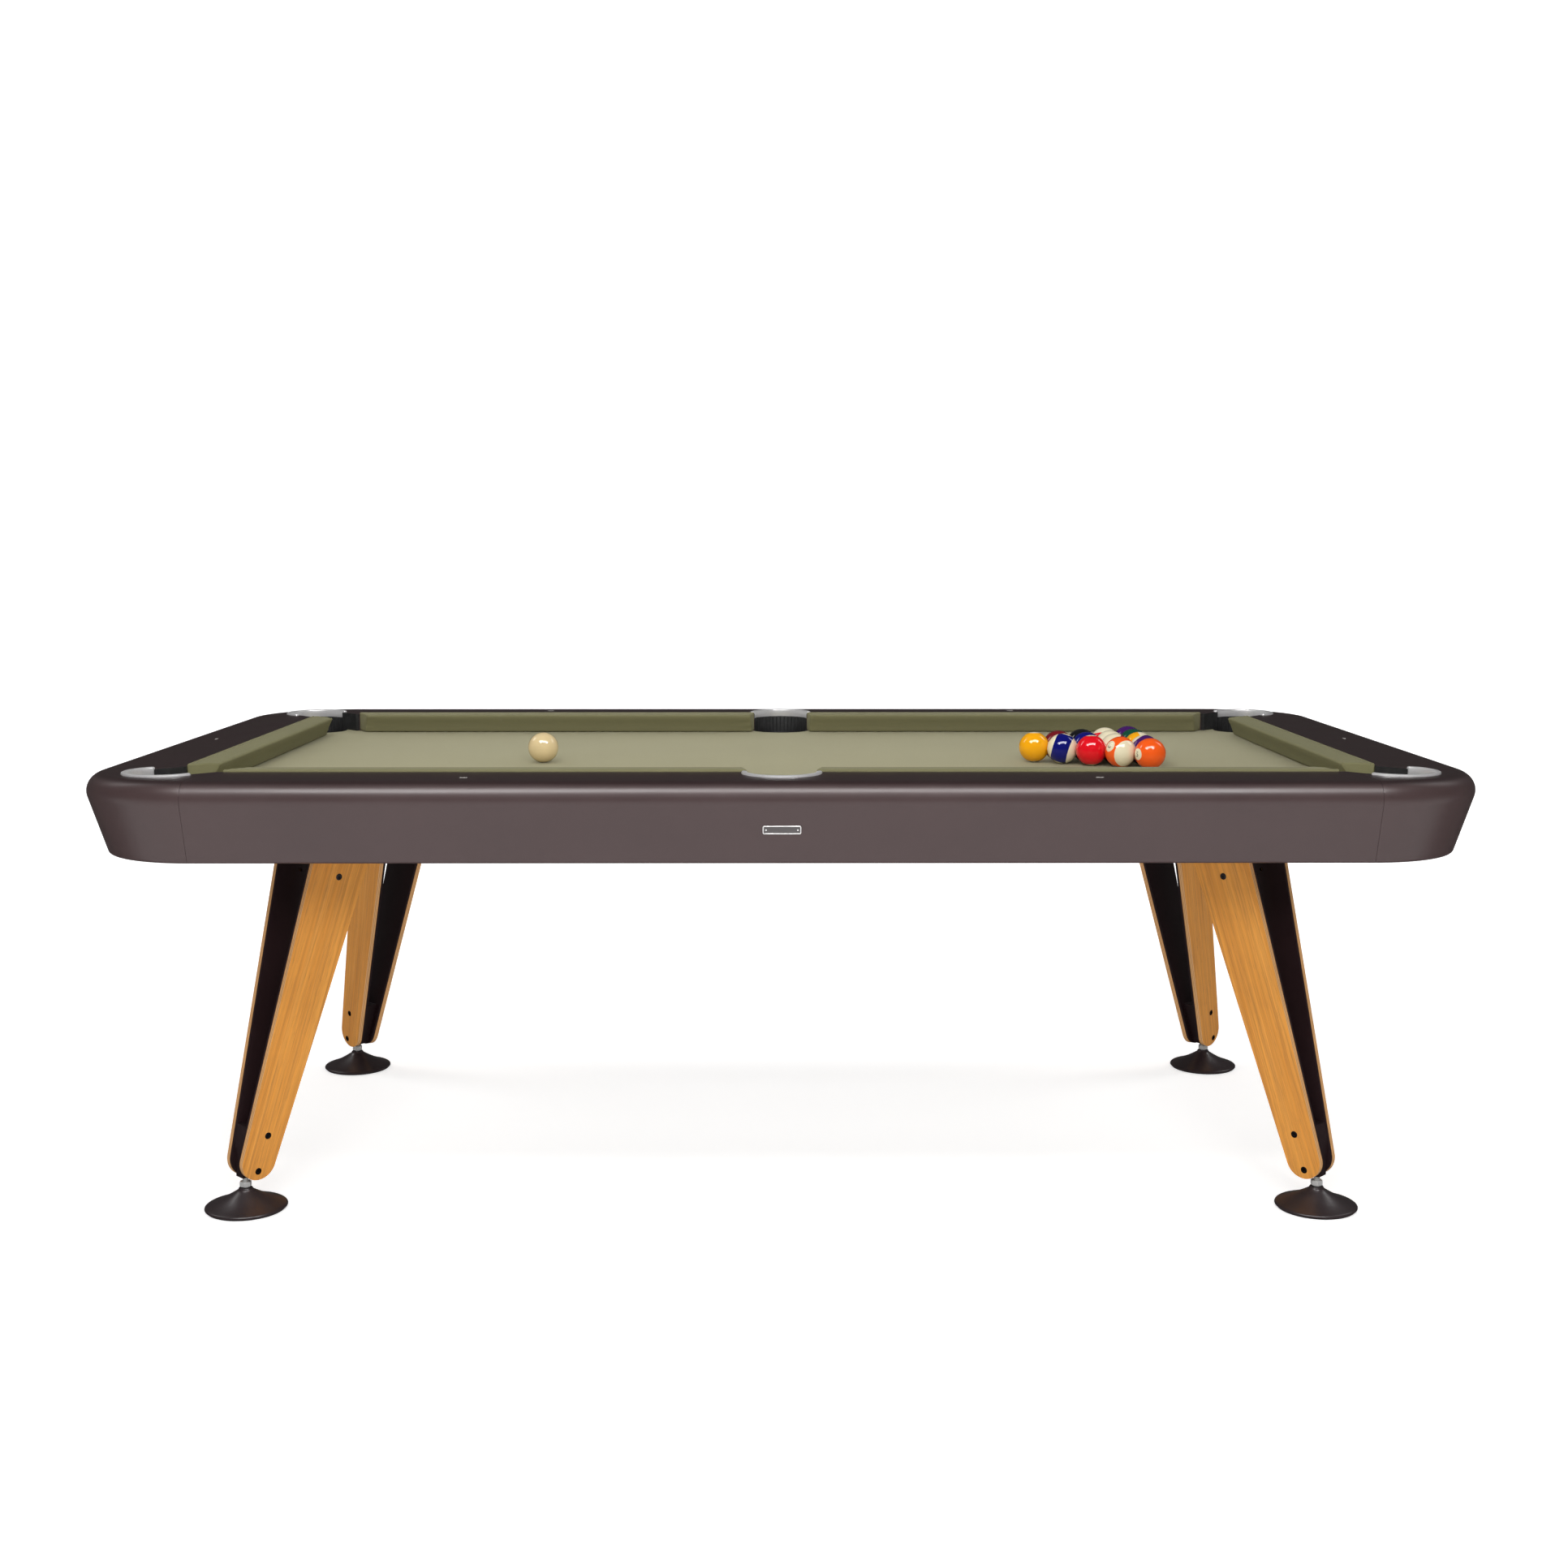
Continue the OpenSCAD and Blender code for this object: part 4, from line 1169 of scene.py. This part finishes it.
# Rows from the apex, each from front to back: (number, spot's way, cap's way)
RACK = [[(1, (0.05, 0.08, 0.99), (1, 0, 0))],
        [(10, (0.25, 0.10, 0.96), (0.90, -0.30, -0.26)), (7, (0.3, 0.9, 0.2), (0, 0, 1))],
        [(3, (0.05, 0.10, 0.99), (1, 0, 0)), (2, (-0.9, 0.2, 0.1), (0, 0, 1)),
         (8, (0.9, 0.2, 0.2), (0, 0, 1))],
        [(13, (-0.72, -0.52, 0.42), (0.42, -0.88, -0.10)),
         (15, (0.3, 0.9, -0.3), (-0.62, -0.05, 0.78)),
         (14, (0.9, 0.2, 0.1), (-0.1, -0.1, 1)), (11, (-0.6, 0.7, 0.2), (0, 0.3, 1))],
        [(5, (-0.90, -0.40, 0.08), (0, 0, 1)), (12, (0.7, 0.6, 0.3), (0.55, -0.60, -0.58)),
         (9, (-0.1, 0.95, -0.2), (0.80, -0.1, 0.58)), (6, (0.9, 0.3, 0.2), (0, 0, 1)),
         (4, (0.2, 0.9, 0.1), (0, 0, 1))]]


def make_balls():
    """The cue ball, and fifteen racked balls that ride together."""
    low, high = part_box("cue_ball")
    mesh = ball_mesh("cue_ball_polished", (low + high) / 2, (high.z - low.z) / 2,
                     turn_of((1, 0.2, 0.3), (0.2, -0.3, 1)), 28)
    stand_for(new_object("cue_ball_polished", mesh, CUE_RESIN), "cue_ball")
    low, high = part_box("racked_balls")
    r = (high.z - low.z) / 2
    pitch = (high.y - low.y - 2 * r) / 4
    apex = Vector((low.x + r, (low.y + high.y) / 2, (low.z + high.z) / 2))
    for row, members in enumerate(RACK):
        for k, (number, spot, cap) in enumerate(members):
            centre = apex + Vector((row * pitch * cos(radians(30)),
                                    (k - row / 2) * pitch, 0))
            turn = turn_of(spot, cap)
            name = f"pool_ball_{number:02d}"
            mesh = ball_mesh(name, centre, r, turn)
            colour = COLOURS[number if number <= 8 else number - 8]
            count = len(mesh.vertices)
            tint = mesh.attributes.new("ball_colour", "FLOAT_VECTOR", "POINT")
            tint.data.foreach_set("vector", list(colour) * count)
            band = mesh.attributes.new("ball_striped", "FLOAT", "POINT")
            band.data.foreach_set("value", [1.0 if number > 8 else 0.0] * count)
            parts = [new_object(name, mesh, BALL_RESIN)]
            for flip in (False, True):
                parts.append(number_mesh(f"digits_{number}_{int(flip)}", number, centre, r,
                                         turn, flip))
            stand_for(join(name, parts), "racked_balls")


make_balls()
